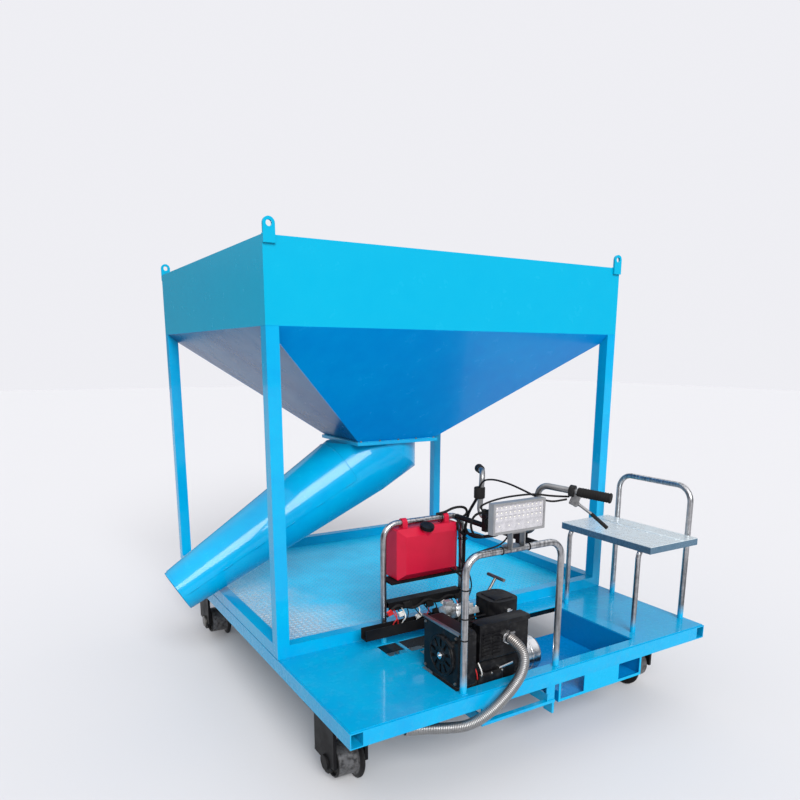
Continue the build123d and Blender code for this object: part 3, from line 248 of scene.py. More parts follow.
def enamel(f, light, deep):
    """Brushed-on enamel with soft waves, a warmer painted-light blue on the box and road dust
    low down.
    """
    broad = f.noise(2.2, 4.0)
    patch = f.noise(14.0, 5.0, rough=0.6)
    height = f.axis("Z")
    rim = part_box("hopper_box")[0].z
    coat = f.mixed(deep, light, f.band(broad * 0.6 + patch * 0.4, 0.32, 0.62))
    # Box blue above the box's lower rim: painted light, a lit copy of the enamel.
    coat = f.mixed(coat, colours().box, f.band(height, rim, rim + 0.004) * 0.8)
    dust = f.band(height, 0.42, 0.16) * f.patches(34.0, 6.0, 0.7, 0.48, 0.78)
    f.tone(coat, (0.10, 0.17, 0.22), dust * 0.4)
    f.set(Roughness=0.17 + patch * 0.16 + dust * 0.35, Specular_IOR_Level=0.10)
    f.set(Coat_Weight=0.34, Coat_Roughness=0.05)
    f.grain(5.0, 2.0, 0.5, 0.006, 0.25)
    f.grain(320.0, 2.0, 0.5, 0.0004, 0.12)


def blue_enamel(f):
    """Glossy blue enamel."""
    enamel(f, colours().blue, colours().blue_deep)


def frame_enamel(f):
    """Blue enamel with painted shade, dark and mottled, on the beams under the deck."""
    blue_enamel(f)
    # Dark mottled blue on the inner faces of the underframe: painted shade under the deck.
    inner = f.band(abs(f.axis("X")), 0.822, 0.810) * f.band(abs(f.axis("Y")), 1.035, 1.020)
    under_deck_shade = f.mixed((0.002, 0.004, 0.006), (0.004, 0.018, 0.030), f.noise(9.0, 4.0))
    f.tone(f.linked("Base Color"), under_deck_shade, inner)


def slope_enamel(f):
    """Bluer and duller enamel of the slopes in painted shade, with painted reflection on their
    sides and painted shade in the footwell.
    """
    c = colours()
    low, high, middle = extent("hopper_cone")
    half = (high - low) / 2
    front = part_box("footwell_tray")[0].y
    enamel(f, c.slope, c.slope_deep)
    across = abs(f.axis("X") - middle.x) * (1.0 / half.x)
    along = abs(f.axis("Y") - middle.y) * (1.0 / half.y)
    # Darker grey-blue on the side slopes: painted reflection.
    side = f.band(across - along, 0.0, 0.012)
    cloud = f.patches(2.4, 4.0, 0.5, 0.40, 0.62)
    haze = f.mixed((0.005, 0.045, 0.12), (0.02, 0.09, 0.18), cloud)
    coat = f.mixed(f.linked("Base Color"), haze, side * 0.85)
    # Darker blue inside the footwell, behind its front face: painted shade.
    inside = f.band(f.axis("Y"), front + 0.0005, front + 0.0015)
    footwell_painted_shade = f.mixed(c.blue, (0.0, 0.185, 0.46), inside)
    f.tone(coat, footwell_painted_shade, f.band(f.axis("Z"), 0.7, 0.6))
    f.set(Coat_Weight=0.15 - side * 0.12)


def tread_enamel(f):
    """Blue enamel on the tread plate, worn to bright metal in patches, with a painted glare of
    bright metal towards the chute's side.
    """
    # Brighter bare metal towards the chute's side: partly wear in patches, partly painted
    # reflection of glare.
    side = f.band(f.axis("X") + f.axis("Y") * 0.25, -0.20, -0.80)
    rub_and_glare = f.band(f.noise(2.6, 5.0, rough=0.62) * 0.5 + side * 0.5, 0.40, 0.72)
    bare_and_glare = rub_and_glare * (0.42 + f.patches(90.0, 3.0, 0.5, 0.40, 0.62) * 0.5)
    coat = f.mixed(colours().blue, (0.0, 0.48, 0.72), f.noise(9.0, 4.0))
    f.set(Base_Color=f.mixed(coat, (0.55, 0.60, 0.64), bare_and_glare), Metallic=bare_and_glare * 0.75)
    f.set(Roughness=0.26 - bare_and_glare * 0.08 + f.noise(60.0, 2.0) * 0.1, Specular_IOR_Level=0.2)
    f.set(Coat_Weight=0.20, Coat_Roughness=0.12)
    f.grain(420.0, 2.0, 0.5, 0.0004, 0.2)


def polished_tube(f):
    """Polished tube with fine draw lines darkened strongly as painted reflection, turning blue
    towards its feet.
    """
    streak = f.noise(8.0, 3.0, f.stretched((14.0, 14.0, 0.4)))
    smear = f.noise(46.0, 5.0, rough=0.65)
    # Blue towards the feet, below about 0.43 m.
    blue_towards_feet = f.band(f.axis("Z") + f.noise(26.0, 3.0) * 0.05, 0.455, 0.405)
    # Dark streaks along the tube: draw lines made far darker than the steel as a painted
    # reflection.
    dark = f.band(streak * 0.75 + smear * 0.25, 0.40, 0.66)
    steel = f.mixed(colours().steel, (0.10, 0.10, 0.105), dark)
    f.set(Base_Color=f.mixed(steel, colours().blue, blue_towards_feet), Metallic=1.0 - blue_towards_feet)
    f.set(Roughness=0.20 + smear * 0.20 - blue_towards_feet * 0.05, Anisotropic=0.3)
    f.bump(streak, 0.0003, 0.25)


def seat_sheet(f):
    """Rolled bright sheet with scuffs, and a dark blue painted reflection on its skirt."""
    grain = f.noise(26.0, 4.0, f.stretched((40.0, 1.2, 1.2)))
    scuff = f.patches(18.0, 6.0, 0.7, 0.50, 0.70)
    skirt = f.band(f.axis("Z"), 0.7435, 0.7425)
    sheet = f.mixed((0.66, 0.72, 0.73), (0.44, 0.52, 0.57), grain * 0.5 + scuff * 0.4)
    # Dark blue on the skirt below the top: painted reflection.
    f.tone(sheet, (0.02, 0.09, 0.16), skirt * (0.90 + scuff * 0.08))
    f.set(Metallic=0.45, Roughness=0.22 + scuff * 0.22 + grain * 0.1)
    f.bump(grain, 0.0003, 0.3)


def bar_plating(f):
    """Dull plated bar with darker smudges."""
    smudge = f.noise(38.0, 5.0, rough=0.65)
    f.tone((0.15, 0.15, 0.155), (0.36, 0.36, 0.36), smudge)
    f.set(Metallic=1.0, Roughness=0.26 + smudge * 0.22)
    f.grain(240.0, 2.0, 0.5, 0.0003, 0.2)


def black_coat(f):
    """Satin black paint with dust and small chips."""
    chip = f.patches(70.0, 4.0, 0.7, 0.70, 0.76)
    dust = f.patches(11.0, 5.0, 0.6, 0.45, 0.75)
    base = f.mixed(colours().black, (0.011, 0.011, 0.011), dust)
    f.tone(base, (0.07, 0.065, 0.06), chip)
    f.set(Roughness=0.38 + dust * 0.25, Specular_IOR_Level=0.08)
    f.grain(210.0, 3.0, 0.5, 0.0005, 0.25)


def wheel_iron(f):
    """Black wheel with its tread rolled bright by the rail."""
    low, high, middle = extent("wheel_front_left")
    radius = (high.z - low.z) / 2
    across = abs(abs(f.axis("X")) - abs(middle.x))
    along = abs(f.axis("Y")) - abs(middle.y)
    up = f.axis("Z") - middle.z
    reach = (along * along + up * up) ** 0.5
    tread = f.band(reach, radius * 0.70, radius * 0.725)
    tread = tread * f.band(reach, radius * 0.86, radius * 0.80) * f.band(across, 0.047, 0.040)
    worn = tread * f.patches(60.0, 4.0, 0.6, 0.30, 0.60) * 0.7
    grime = f.noise(24.0, 5.0, rough=0.65)
    iron = f.mixed(colours().black, (0.016, 0.015, 0.014), f.band(grime, 0.45, 0.75))
    f.set(Base_Color=f.mixed(iron, (0.20, 0.20, 0.205), worn), Metallic=worn)
    f.set(Roughness=0.34 - worn * 0.12 + grime * 0.12, Specular_IOR_Level=0.12)
    f.grain(150.0, 4.0, 0.5, 0.0006, 0.3)


def oiled_steel(f):
    """Dark oiled steel of the axle, the bolts and the chain."""
    oil = f.noise(40.0, 5.0, rough=0.65)
    f.tone((0.10, 0.09, 0.08), (0.34, 0.33, 0.32), oil)
    f.set(Metallic=1.0, Roughness=0.30 + oil * 0.25)
    f.grain(180.0, 3.0, 0.5, 0.0003, 0.25)


def red_moulding(f):
    """Blow-moulded red tank with a soft skin and faint fuel stains."""
    cloud = f.noise(16.0, 4.0)
    stain = f.patches(7.0, 5.0, 0.6, 0.58, 0.75)
    skin = f.mixed(colours().red, (0.34, 0.004, 0.022), cloud)
    f.tone(skin, (0.26, 0.006, 0.016), stain * 0.5)
    f.set(Roughness=0.30 + cloud * 0.15 + stain * 0.1, Specular_IOR_Level=0.25)
    f.set(Subsurface_Weight=0.08, Subsurface_Radius=(0.02, 0.004, 0.003))
    f.bump(f.cells(260.0), 0.0004, 0.25)


def black_moulding(f):
    """Grained black plastic."""
    dust = f.patches(20.0, 5.0, 0.6, 0.45, 0.8)
    f.tone((0.004, 0.004, 0.005), (0.022, 0.022, 0.022), dust)
    f.set(Roughness=0.42 + dust * 0.2, Specular_IOR_Level=0.12)
    f.bump(f.cells(420.0), 0.0003, 0.3)


def rubber_skin(f):
    """Matt black rubber."""
    bloom = f.noise(30.0, 4.0)
    f.tone((0.004, 0.004, 0.004), (0.016, 0.015, 0.015), bloom)
    f.set(Roughness=0.55 + bloom * 0.2, Specular_IOR_Level=0.12)
    f.grain(380.0, 2.0, 0.5, 0.0003, 0.3)


def engine_enamel(f):
    """Black engine paint with dust in the hollows and oily patches."""
    oil = f.patches(8.0, 5.0, 0.6, 0.46, 0.68)
    dust = f.patches(45.0, 5.0, 0.7, 0.52, 0.8)
    base = f.mixed((0.003, 0.003, 0.004), (0.010, 0.010, 0.010), oil)
    f.tone(base, (0.045, 0.045, 0.046), dust * 0.6)
    f.set(Roughness=0.40 + dust * 0.3 - oil * 0.08, Specular_IOR_Level=0.14)
    f.grain(190.0, 4.0, 0.6, 0.0006, 0.35)


def turned_steel(f):
    """Machined drum with turning lines round the X axis."""
    line = f.noise(60.0, 2.0, f.stretched((22.0, 0.4, 0.4)))
    stain = f.noise(14.0, 5.0, rough=0.6)
    f.tone((0.40, 0.41, 0.42), (0.76, 0.76, 0.76), line * 0.6 + stain * 0.4)
    f.set(Metallic=1.0, Anisotropic=0.4, Roughness=0.16 + stain * 0.2)
    f.bump(line, 0.0003, 0.3)


def cast_alloy(f):
    """Pale cast alloy with oil in its grain."""
    grain = f.noise(160.0, 4.0, rough=0.7)
    oil = f.patches(26.0, 5.0, 0.65, 0.48, 0.72)
    f.tone((0.42, 0.43, 0.44), (0.07, 0.07, 0.07), oil * 0.8 + grain * 0.15)
    f.set(Metallic=0.75 - oil * 0.3, Roughness=0.30 + grain * 0.2)
    f.bump(grain, 0.0005, 0.4)


def hose_metal(f):
    """Dull zinc-grey flexible metal, browned near the silencer."""
    stain = f.noise(22.0, 5.0, rough=0.65)
    zinc = f.mixed((0.40, 0.40, 0.40), (0.22, 0.22, 0.22), stain)
    heat = f.band(f.axis("Z"), 0.46, 0.53)
    f.tone(zinc, (0.22, 0.17, 0.13), heat * 0.5)
    f.set(Metallic=1.0, Roughness=0.30 + stain * 0.22)
    f.grain(160.0, 2.0, 0.5, 0.0002, 0.2)


def lamp_case(f):
    """Grey anodised lamp case."""
    dust = f.noise(34.0, 4.0)
    f.tone((0.24, 0.24, 0.25), (0.36, 0.36, 0.36), dust)
    f.set(Metallic=0.7, Roughness=0.36 + dust * 0.2)
    f.grain(220.0, 2.0, 0.5, 0.0003, 0.2)


def lamp_cover(f):
    """Clear lamp front with a trace of dust."""
    dust = f.patches(30.0, 4.0, 0.5, 0.45, 0.8)
    f.set(Base_Color=(0.95, 0.96, 0.96), Coat_Weight=0.6, Coat_Roughness=0.03)
    f.set(Alpha=0.03 + dust * 0.05, Roughness=0.05 + dust * 0.2)


def lamp_mirror(f):
    """Bright plated reflector of the lamp."""
    haze = f.noise(60.0, 3.0)
    f.tone((0.47, 0.46, 0.48), (0.33, 0.32, 0.34), haze)
    f.set(Metallic=0.15 + haze * 0.2, Roughness=0.18 + haze * 0.12)


def led_glow(f):
    """Pale face of an unlit LED."""
    spot = f.noise(300.0, 2.0)
    f.tone((0.66, 0.63, 0.48), (0.80, 0.78, 0.68), spot)
    f.set(Coat_Weight=0.5, Roughness=0.25 + spot * 0.1)


def lead_skin(f, tint):
    """Soft plastic insulation with dirt along it."""
    dirt = f.patches(60.0, 4.0, 0.6, 0.45, 0.75)
    f.tone(tint, (0.05, 0.045, 0.04), dirt * 0.5)
    f.set(Roughness=0.35 + dirt * 0.25, Specular_IOR_Level=0.4)
    f.grain(300.0, 2.0, 0.5, 0.0002, 0.2)


def red_lead(f):
    """Red insulation."""
    lead_skin(f, (0.45, 0.012, 0.012))


def white_lead(f):
    """White insulation and connector shells."""
    lead_skin(f, (0.62, 0.61, 0.58))


def studio_floor(f):
    """Pale matt studio floor."""
    tone = f.noise(0.5, 3.0)
    f.tone(colours().floor, (0.585, 0.585, 0.595), tone)
    f.set(Roughness=0.65 + tone * 0.1, Specular_IOR_Level=0.2)


CAD_FINISHES = (
    (frame_enamel, "deck_frame"),
    (blue_enamel, "front_deck_plate hopper_frame hopper_box lifting_lugs outlet_flange"),
    (blue_enamel, "chute_elbow chute_pipe chute_cover engine_cradle"),
    (slope_enamel, "hopper_cone footwell_tray"),
    (tread_enamel, "rear_tread_plate"),
    (polished_tube, "engine_guard tank_hoop seat_frame"),
    (seat_sheet, "seat_plate"),
    (bar_plating, "handlebar brake_lever lamp_bracket"),
    (black_coat, "bridge_bar tank_shelf handlebar_clamps wiring_rails wheel_forks"),
    (black_coat, "front_axle_pins"),
    (wheel_iron, "wheel_front_left wheel_front_right wheel_rear_left wheel_rear_right"),
    (oiled_steel, "drive_axle axle_sprocket output_sprocket gear_lever"),
    (red_moulding, "fuel_tank"),
    (black_moulding, "tank_cap air_filter"),
    (rubber_skin, "handlebar_grips control_cables"),
    (engine_enamel, "engine_block fan_cover gearbox muffler"),
    (turned_steel, "clutch_drum"),
    (lamp_case, "lamp_housing"),
    (lamp_cover, "lamp_lens"),
)


def finish_of(maker):
    """Material of a finish, made once."""
    if maker.__name__ not in bpy.data.materials:
        maker(Finish(maker.__name__))
    return bpy.data.materials[maker.__name__]


def dress(piece, maker):
    """Give a new piece its finish and the body that it rides on."""
    piece.data.materials.clear()
    piece.data.materials.append(finish_of(maker))
    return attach(piece, BODY)


def extent(node):
    """Low corner, high corner and middle of a CAD node."""
    low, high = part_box(node)
    return low, high, (low + high) / 2


def deselect():
    """Leave edit mode and select nothing."""
    if bpy.context.mode != "OBJECT":
        bpy.ops.object.mode_set(mode="OBJECT")
    bpy.ops.object.select_all(action="DESELECT")


def choose(piece):
    """Select one piece alone and make it active."""
    deselect()
    piece.select_set(True)
    bpy.context.view_layer.objects.active = piece
    return piece


def named(name):
    """Take the piece that an operator has just made."""
    piece = bpy.context.object
    piece.name = name
    piece.data.name = name
    return piece


def added(name, primitive, **settings):
    """Add a primitive as a new piece."""
    deselect()
    getattr(bpy.ops.mesh, f"primitive_{primitive}_add")(**settings)
    return named(name)


def edit(piece, action="DESELECT"):
    """Open one piece in edit mode with nothing or all of it selected."""
    choose(piece)
    bpy.ops.object.mode_set(mode="EDIT")
    bpy.ops.mesh.select_all(action=action)
    return piece


def pick_faces(piece, direction):
    """Select the faces that look along a direction."""
    bpy.ops.mesh.select_mode(type="FACE")
    bpy.ops.mesh.select_all(action="DESELECT")
    shape = bmesh.from_edit_mesh(piece.data)
    for face in shape.faces:
        face.select_set(face.normal.dot(direction) > 0.9)
    bmesh.update_edit_mesh(piece.data)


def resized(piece, value):
    """Scale the whole mesh of a piece."""
    edit(piece, "SELECT")
    bpy.ops.transform.resize(value=value)
    deselect()
    return piece


def settle(piece):
    """Put a piece's place, turn and scale into its mesh."""
    choose(piece)
    bpy.ops.object.transform_apply(location=True, rotation=True, scale=True)
    return piece


def modify(piece, kind, **settings):
    """Add a modifier and apply it."""
    choose(piece)
    modifier = piece.modifiers.new(kind.title(), kind)
    for key, value in settings.items():
        setattr(modifier, key, value)
    bpy.ops.object.modifier_apply(modifier=modifier.name)
    return piece


def repeat(piece, count, step, **settings):
    """Repeat a piece along a step."""
    settings.update(use_relative_offset=False, use_constant_offset=True)
    return modify(piece, "ARRAY", count=count, constant_offset_displace=step, **settings)


def rounded(piece, width, segments=2):
    """Round the sharp edges of a piece."""
    limit = {"limit_method": "ANGLE", "angle_limit": math.radians(40.0)}
    return modify(piece, "BEVEL", width=width, segments=segments, **limit)


def join(pieces, name):
    """Join pieces into one."""
    deselect()
    for piece in pieces:
        piece.select_set(True)
    bpy.context.view_layer.objects.active = pieces[0]
    bpy.ops.object.join()
    return named(name)


def copies(pattern, places, name):
    """Copy a pattern to each matrix and join the copies into one piece."""
    deselect()
    made = []
    for place in places:
        piece = pattern.copy()
        piece.data = pattern.data.copy()
        bpy.context.collection.objects.link(piece)
        piece.matrix_world = place
        made.append(settle(piece))
    bpy.data.objects.remove(pattern)
    return join(made, name)


def facing(point, direction, turn=0.0):
    """Matrix that puts a pattern's +Z along a direction at a point."""
    aim = Vector(direction).to_track_quat("Z", "Y").to_matrix().to_4x4()
    return Matrix.Translation(point) @ aim @ Matrix.Rotation(turn, 4, "Z")


def smooth(piece, degrees=35.0):
    """Shade a piece smooth where its faces meet gently."""
    choose(piece)
    bpy.ops.object.shade_smooth_by_angle(angle=math.radians(degrees))
    return piece


def route(name, points, kind="NURBS", cyclic=False):
    """Path of one spline with a route's control points."""
    curve = bpy.data.curves.new(name, "CURVE")
    curve.dimensions = "3D"
    spline = curve.splines.new(kind)
    spline.points.add(len(points) - 1)
    for control, point in zip(spline.points, points):
        control.co = (*point, 1.0)
    if kind == "NURBS":
        spline.order_u = 3
        spline.use_endpoint_u = not cyclic
        curve.resolution_u = 16
    spline.use_cyclic_u = cyclic
    path = bpy.data.objects.new(name, curve)
    bpy.context.collection.objects.link(path)
    return path


def lead(name, points, radius, maker=rubber_skin):
    """Thin lead along a route."""
    path = route(name, points)
    path.data.bevel_depth = radius
    path.data.bevel_resolution = 2
    path.data.resolution_u = 6
    path.data.use_fill_caps = True
    choose(path)
    bpy.ops.object.convert(target="MESH")
    return dress(smooth(named(name), 60.0), maker)


def opened(name):
    """Empty piece, open in edit mode for its parts."""
    piece = edit(added(name, "cube", size=0.001), "SELECT")
    bpy.ops.mesh.delete(type="VERT")
    return piece


def cuboid(middle, size, turn=(0.0, 0.0, 0.0)):
    """Add a box to the piece in edit mode."""
    bpy.ops.mesh.primitive_cube_add(size=1.0, location=middle, rotation=turn, scale=size)


def barrel(middle, direction, radius, depth, vertices=20):
    """Add a cylinder along a direction to the piece in edit mode."""
    turn = Vector(direction).to_track_quat("Z", "Y").to_euler()
    bpy.ops.mesh.primitive_cylinder_add(
        vertices=vertices, radius=radius, depth=depth, location=middle, rotation=turn
    )


@contextmanager
def fitting(name, bevel, maker):
    """New piece of boxes and cylinders, rounded, shaded and dressed at the end."""
    piece = opened(name)
    yield piece
    dress(smooth(rounded(piece, bevel)), maker)


def ring(name, radius, thickness, stretch):
    """Thin ring round +Z, stretched along it."""
    shape = {"major_radius": radius, "minor_radius": thickness}
    torus = added(name, "torus", major_segments=28, minor_segments=6, **shape)
    return resized(torus, (1.0, 1.0, stretch))


def rings(name, places, radius, thickness, stretch, maker):
    """Thin rings round the +Z of each place."""
    pattern = ring(name, radius, thickness, stretch)
    return dress(smooth(copies(pattern, places, name), 60.0), maker)


def panel(name, columns, rows, middle, width, height):
    """Grid of faces that looks towards -Y."""
    grid = added(name, "grid", x_subdivisions=columns, y_subdivisions=rows, size=1.0)
    piece = resized(grid, (width, height, 1.0))
    piece.matrix_world = Matrix.Translation(middle) @ Matrix.Rotation(math.pi / 2, 4, "X")
    return settle(piece)


def bolts(name, radius, places):
    """Hexagon heads on washers, standing along the +Z of each place."""
    head = {"vertices": 6, "radius": radius, "depth": radius * 1.1}
    pattern = added("bolt", "cylinder", location=UP * radius * 0.75, **head)
    edit(settle(pattern))
    pick_faces(pattern, UP)
    bpy.ops.mesh.bevel(offset=radius * 0.14, segments=1, affect="EDGES")
    washer = {"vertices": 16, "radius": radius * 1.35, "depth": radius * 0.24}
    bpy.ops.mesh.primitive_cylinder_add(location=UP * radius * 0.12, **washer)
    return dress(copies(pattern, places, name), oiled_steel)


class TROLLEY_OT_stage(Operator):
    """Set up the floor, an even sky, a broad key light and the camera.

    The key light is as strong as makes the open floor match the sky. Reflections see a
    sky that is darker near the horizon.
    """

    bl_idname = "trolley.stage"
    bl_label = "Stage"

    FLOOR_SIZE = 60.0
    SKY = 0.90
    EVEN = (0.955, 0.955, 1.0)
    MIRRORED_LOW = (0.16, 0.18, 0.21)
    MIRRORED_HIGH = (1.5, 1.5, 1.55)
    MIRRORED_BAND = (0.10, 0.65)
    KEY_FROM = (-0.25, -1.0, 0.66)
    KEY_AWAY = 6.0
    KEY_SPREAD = 32.0
    # The photograph's camera, with its yaw, pitch and roll in degrees
    EYE = (-1.7275, -2.8115, 1.5078)
    ANGLES = (31.527, 12.087, -0.284)
    SENSOR = 36.0
    LENS = 31.02
    SHIFT = (-0.0110, 0.1281)

    def execute(self, context):
        floor = added("studio_floor", "plane", size=self.FLOOR_SIZE)
        floor.data.materials.append(finish_of(studio_floor))
        self.add_sky(context)
        aim = Vector(self.KEY_FROM).normalized()
        bpy.ops.object.light_add(type="SUN", location=aim * self.KEY_AWAY)
        key = bpy.context.object
        key.name = "key_light"
        key.data.angle = math.radians(self.KEY_SPREAD)
        albedo = colours().floor[0]
        key.data.energy = self.SKY * (1.0 - albedo) / albedo * math.pi / aim.z
        key.rotation_euler = aim.to_track_quat("Z", "Y").to_euler()
        self.add_camera(context)
        return {"FINISHED"}

    def add_sky(self, context):
        """Even sky, with another one for reflections."""
        world = bpy.data.worlds.new("studio")
        world.use_nodes = True
        sky = Nodes(world.node_tree)
        direction = sky.node("ShaderNodeTexCoord", output="Generated")
        height = sky.node("ShaderNodeSeparateXYZ", inputs={"Vector": direction}, output="Z")
        share = sky.band(height, *self.MIRRORED_BAND)
        mirrored = sky.mixed(self.MIRRORED_LOW, self.MIRRORED_HIGH, share)
        reflected = sky.node("ShaderNodeLightPath", output="Is Glossy Ray")
        background = world.node_tree.nodes["Background"]
        sky.feed(background.inputs["Color"], sky.mixed(self.EVEN, mirrored, reflected))
        sky.feed(background.inputs["Strength"], self.SKY)
        context.scene.world = world
        context.scene.view_settings.view_transform = "Standard"

    def add_camera(self, context):
        """Camera at the photograph's place, angle and framing."""
        yaw, pitch, roll = (math.radians(angle) for angle in self.ANGLES)
        ahead = Vector((math.sin(yaw), math.cos(yaw), 0.0))
        right = Vector((math.cos(yaw), -math.sin(yaw), 0.0))
        forward = ahead * math.cos(pitch) - UP * math.sin(pitch)
        down = -ahead * math.sin(pitch) - UP * math.cos(pitch)
        side = right * math.cos(roll) + down * math.sin(roll)
        lower = down * math.cos(roll) - right * math.sin(roll)
        turn = Matrix((side, -lower, -forward)).transposed().to_4x4()
        bpy.ops.object.camera_add()
        camera = bpy.context.object
        camera.matrix_world = Matrix.Translation(self.EYE) @ turn
        camera.data.sensor_width = self.SENSOR
        camera.data.lens = self.LENS
        camera.data.shift_x, camera.data.shift_y = self.SHIFT
        context.scene.camera = camera


class TROLLEY_OT_finishes(Operator):
    """Give every CAD node its finish."""

    bl_idname = "trolley.finishes"
    bl_label = "Finishes"

    def execute(self, context):
        for maker, names in CAD_FINISHES:
            for name in names.split():
                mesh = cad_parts[name].data
                mesh.materials.clear()
                mesh.materials.append(finish_of(maker))
        return {"FINISHED"}


class TROLLEY_OT_exhaust_hose(Operator):
    """Model the ribbed exhaust hose along its route."""

    bl_idname = "trolley.exhaust_hose"
    bl_label = "Exhaust hose"

    ROUTE = (
        (-0.198, -1.0033, 0.512), (-0.198, -1.043, 0.512), (-0.182, -1.085, 0.474),
        (-0.204, -1.105, 0.418), (-0.256, -1.107, 0.362), (-0.336, -1.101, 0.300),
        (-0.411, -1.075, 0.254), (-0.491, -1.037, 0.250), (-0.554, -1.011, 0.256),
        (-0.628, -0.997, 0.264),
    )
    # Growth of the radius over each fifth of a rib
    GROWTH = (1.06, 1.0482, 1.0, 0.954, 0.9434)
    WALL = 0.0014
    WELD = 0.0004

    def execute(self, context):
        s = sizes()
        path = route("hose_path", self.ROUTE)
        length = sum(spline.calc_length() for spline in path.data.splines)
        hose = added("ribbed_hose", "circle", vertices=20, radius=s.hose_radius * 0.9)
        edit(hose, "SELECT")
        rise = {"value": (0, 0, 0.2 * s.hose_pitch)}
        for growth in self.GROWTH:
            bpy.ops.mesh.extrude_region_move(TRANSFORM_OT_translate=rise)
            bpy.ops.transform.resize(value=(growth, growth, 1.0))
        weld = {"use_merge_vertices": True, "merge_threshold": self.WELD}
        repeat(hose, int(length / s.hose_pitch), (0.0, 0.0, s.hose_pitch), **weld)
        modify(hose, "CURVE", object=path, deform_axis="POS_Z")
        modify(hose, "SOLIDIFY", thickness=self.WALL, offset=-1.0)
        edit(hose, "SELECT")
        bpy.ops.mesh.normals_make_consistent(inside=False)
        dress(smooth(hose, 50.0), hose_metal)
        bpy.data.objects.remove(path)
        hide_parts("exhaust_hose")
        return {"FINISHED"}


class TROLLEY_OT_tread_bars(Operator):
    """Raise the crossed bars of the tread plate inside the hopper's base."""

    bl_idname = "trolley.tread_bars"
    bl_label = "Tread bars"

    RAIL = 0.052

    def execute(self, context):
        s = sizes()
        size = (s.bar_length, s.bar_length * 0.26, s.bar_height)
        pair = []
        for turn, step in ((45.0, 0.0), (-45.0, 0.5)):
            bar = edit(settle(added("tread_bar", "cube", size=1.0, scale=size)))
            pick_faces(bar, UP)
            bpy.ops.transform.resize(value=(0.72, 0.5, 1.0))
            pick_faces(bar, -UP)
            bpy.ops.mesh.delete(type="FACE")
            deselect()
            offset = step * s.bar_pitch
            bar.rotation_euler.z = math.radians(turn)
            bar.location = (offset, offset, s.bar_height / 2)
            pair.append(settle(bar))
        bars = join(pair, "tread_bars")
        low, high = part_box("hopper_frame")
        inset = self.RAIL + s.bar_length / 2
        for step, span in ((RIGHT, high.x - low.x), (REAR, high.y - low.y)):
            repeat(bars, int((span - 2 * inset) / s.bar_pitch), step * s.bar_pitch)
        bars.location = (low.x + inset, low.y + inset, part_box("rear_tread_plate")[1].z)
        dress(settle(bars), tread_enamel)
        return {"FINISHED"}


class TROLLEY_OT_lamp_cells(Operator):
    """Model the lamp's reflector cells and LEDs behind its clear front."""

    bl_idname = "trolley.lamp_cells"
    bl_label = "Lamp cells"

    GAP = 0.0012
    DEPTH = 0.0028
    SMALL_ROWS = 3
    SMALL_SHARE = 0.58
    LARGE_COLUMNS = 5
    LARGE_SHARE = 0.42
    CHIP = (0.005, 0.0012, 0.004)

    def cells(self, name, columns, rows, corner, width, height):
        """Reflector grid that faces -Y, with one sunk cell for each LED."""
        middle = corner + Vector((width / 2, 0.0, height / 2))
        pitch = width / columns
        piece = edit(panel(name, columns, rows, middle, width, height), "SELECT")
        bpy.ops.mesh.inset(use_individual=True, thickness=pitch * 0.07)
        bpy.ops.mesh.inset(use_individual=True, thickness=pitch * 0.20, depth=-self.DEPTH)
        deselect()
        dress(piece, lamp_mirror)
        return [
            Matrix.Translation(
                corner + Vector(((i + 0.5) * pitch, self.DEPTH, (j + 0.5) * height / rows))
            )
            for i in range(columns)
            for j in range(rows)
        ]

    def execute(self, context):
        low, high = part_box("lamp_lens")
        width, height = high.x - low.x, high.z - low.z
        corner = low + REAR * self.GAP
        upper = corner + UP * height * self.LARGE_SHARE
        small = (sizes().led_columns, self.SMALL_ROWS, upper, width, height * self.SMALL_SHARE)
        large = (self.LARGE_COLUMNS, 1, corner, width, height * self.LARGE_SHARE)
        spots = self.cells("lamp_small_cells", *small) + self.cells("lamp_large_cells", *large)
        chip = edit(settle(added("led_chip", "cube", size=1.0, scale=self.CHIP)))
        pick_faces(chip, -REAR)
        bpy.ops.transform.resize(value=(0.7, 1.0, 0.7))
        dress(copies(chip, spots, "led_chips"), led_glow)
        return {"FINISHED"}


